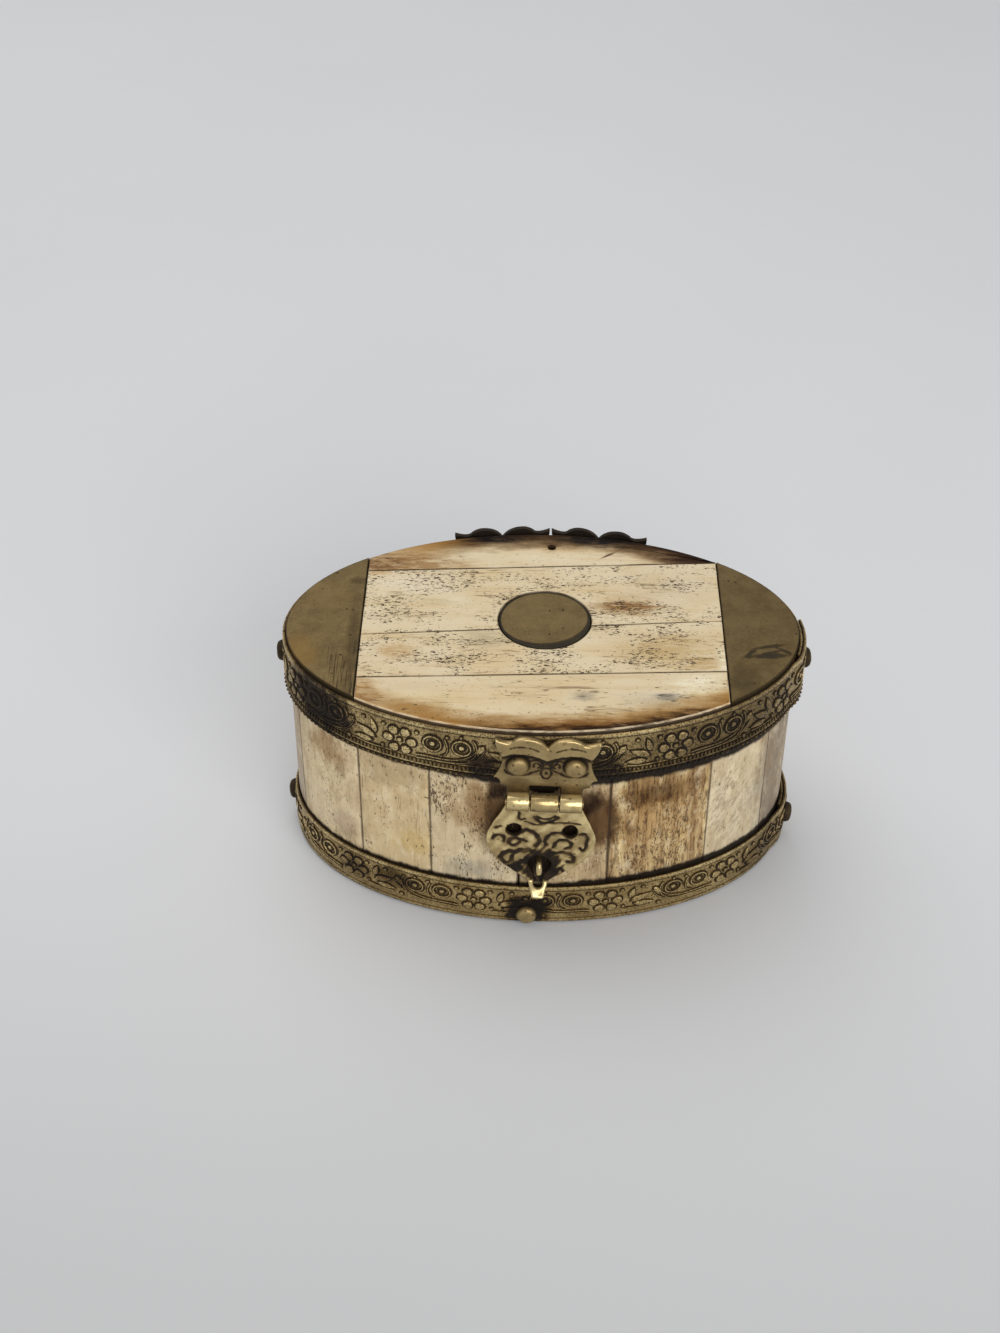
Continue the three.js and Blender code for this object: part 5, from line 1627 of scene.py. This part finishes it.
def makeStaple(look):
    radius = look["stapleHalf"]
    crown = look["stapleTip"] + radius + look["stapleWire"]
    leg = np.linspace(look["stapleRoot"], crown, 8)
    path = [(0, y, radius) for y in leg]
    bend = np.linspace(0, math.pi, 22)[1:-1]
    path += [(0, crown - radius * math.sin(t), radius * math.cos(t)) for t in bend]
    path += [(0, y, -radius) for y in leg[::-1]]
    verts, faces = tubeAlong(np.array(path) + (0, 0, look["stapleZ"]), look["stapleWire"])
    # the wire is darker from the front of the plate backwards, through the slot
    bright, loss = look["stapleShades"]
    shades = np.clip(bright - loss * smooth(verts[:, 1], *look["stapleDarkSpan"]), 0, 1)
    piece = meshPiece("stapleWire", verts, faces, stampedBrass, 60, polish=shades)
    finishPiece(piece, "box", "wire_brass", "staple")


carcassLook = {
    "inner": (43.5, 24.45), "edge": 0.3, "sides": 200,
    "rings": [
        ("wallWood", "wall_ring", "box", (47.5, 28.45)),
        ("lidRimWood", "lid_rim", "lid", (50.05, 31.0))],
}


def makeCarcass(look):
    # upright oval rings with their four edges eased, and the two boards as they are
    inner, edge, sides = look["inner"], look["edge"], look["sides"]
    for name, node, body, outer in look["rings"]:
        bottom, top = (corner[2] for corner in boxOf(node))
        rows = [
            (outer, 0, bottom + edge), (outer, 0, top - edge), (outer, -edge, top), (inner, edge, top),
            (inner, 0, top - edge), (inner, 0, bottom + edge), (inner, edge, bottom),
            (outer, -edge, bottom)]
        verts = np.concatenate([
            np.column_stack([ovalAt(oval[0] + grow, oval[1] + grow, turnsOf(sides)), np.full(sides, z)])
            for oval, grow, z in rows])
        faces = rowFaces(numberRows(len(rows), sides), over=True)
        finishPiece(meshPiece(name, verts, faces, carcassWood, 30), body, "wood", node)
    for node in ("base_board", "lid_board"):
        board = frame["nodes"][node]
        board.data.materials.clear()
        board.data.materials.append(carcassWood)


makePins(wireLook)
makeStaple(wireLook)
makeCarcass(carcassLook)
print("carcass dressed")


# Floor, light and camera

floorLook = {
    "half": 3000,  # mm
    # the near colour is painted shade on the floor towards the front
    "dim": (0.575, 0.59, 0.615), "pale": (0.62, 0.635, 0.66), "near": (0.4, 0.41, 0.42), "rough": 0.8,
    "clouds": (6.0, 3), "nearShadeSpan": (0.03, -0.16, 0.0, 0.7),  # metres along y, then shares
}
lightLook = {
    "world": 0.5, "worldColour": (1.0, 0.99, 0.97, 1), "lampColour": (1.0, 0.98, 0.96), "aim": (0, 0, 0.02),
    "lamps": {  # place and size in metres, power in watts
        "softTop": ((-0.25, 0.35, 0.9), (0.9, 0.9), 4.6),
        "softFront": ((0.3, -0.75, 0.5), (0.8, 0.6), 5.6),
    },
}
cameraView = {
    "place": (-3.32, -306.9, 292.05),  # mm
    "aim": (-8.99, 48.86, 0.0),
    "roll": 0.234,  # degrees
    "focusPixels": 2000, "framePixels": 1333, "sensor": 36,
    "clip": (0.01, 20),  # metres
}


def makeFloor(look):
    material, shader, place = startMaterial("floorPale")
    tone = blend(noise(place, *look["clouds"]), look["dim"], look["pale"])
    # darker towards the front: painted shade on the floor
    tone = blend(ease(split(place)[1], *look["nearShadeSpan"]), tone, look["near"])
    feed(shader, {"Base Color": tone, "Roughness": look["rough"]})
    half = look["half"]
    corners = [(-half, -half, 0), (half, -half, 0), (half, half, 0), (-half, half, 0)]
    piece = meshPiece("floor", corners, [(0, 1, 2, 3)], material)


def addLight(look):
    world = bpy.data.worlds.new("studio")
    world.use_nodes = True
    scene.world = world
    feed(world.node_tree.nodes["Background"], {"Color": look["worldColour"], "Strength": look["world"]})
    for name, (place, size, power) in look["lamps"].items():
        data = bpy.data.lights.new(name, "AREA")
        data.shape = "RECTANGLE"
        data.size, data.size_y = size
        data.energy = power
        data.color = look["lampColour"]
        lamp = bpy.data.objects.new(name, data)
        turn = (Vector(look["aim"]) - Vector(place)).to_track_quat("-Z", "Y")
        lamp.matrix_world = Matrix.Translation(place) @ turn.to_matrix().to_4x4()
        scene.collection.objects.link(lamp)


def addCamera(look):
    place = Vector(look["place"])
    ahead = (Vector(look["aim"]) - place).normalized()
    side = ahead.cross(Vector((0, 0, 1))).normalized()
    top = side.cross(ahead)
    roll = math.radians(look["roll"])
    right = side * math.cos(roll) + top * math.sin(roll)
    head = top * math.cos(roll) - side * math.sin(roll)
    turn = Matrix((right, head, -ahead)).transposed()
    data = bpy.data.cameras.new("camera")
    data.lens = look["focusPixels"] / look["framePixels"] * look["sensor"]
    data.sensor_width = look["sensor"]
    data.clip_start, data.clip_end = look["clip"]
    camera = bpy.data.objects.new("camera", data)
    camera.matrix_world = Matrix.Translation(place * mm) @ turn.to_4x4()
    scene.collection.objects.link(camera)
    scene.camera = camera


makeFloor(floorLook)
addLight(lightLook)
addCamera(cameraView)
print("scene lit")
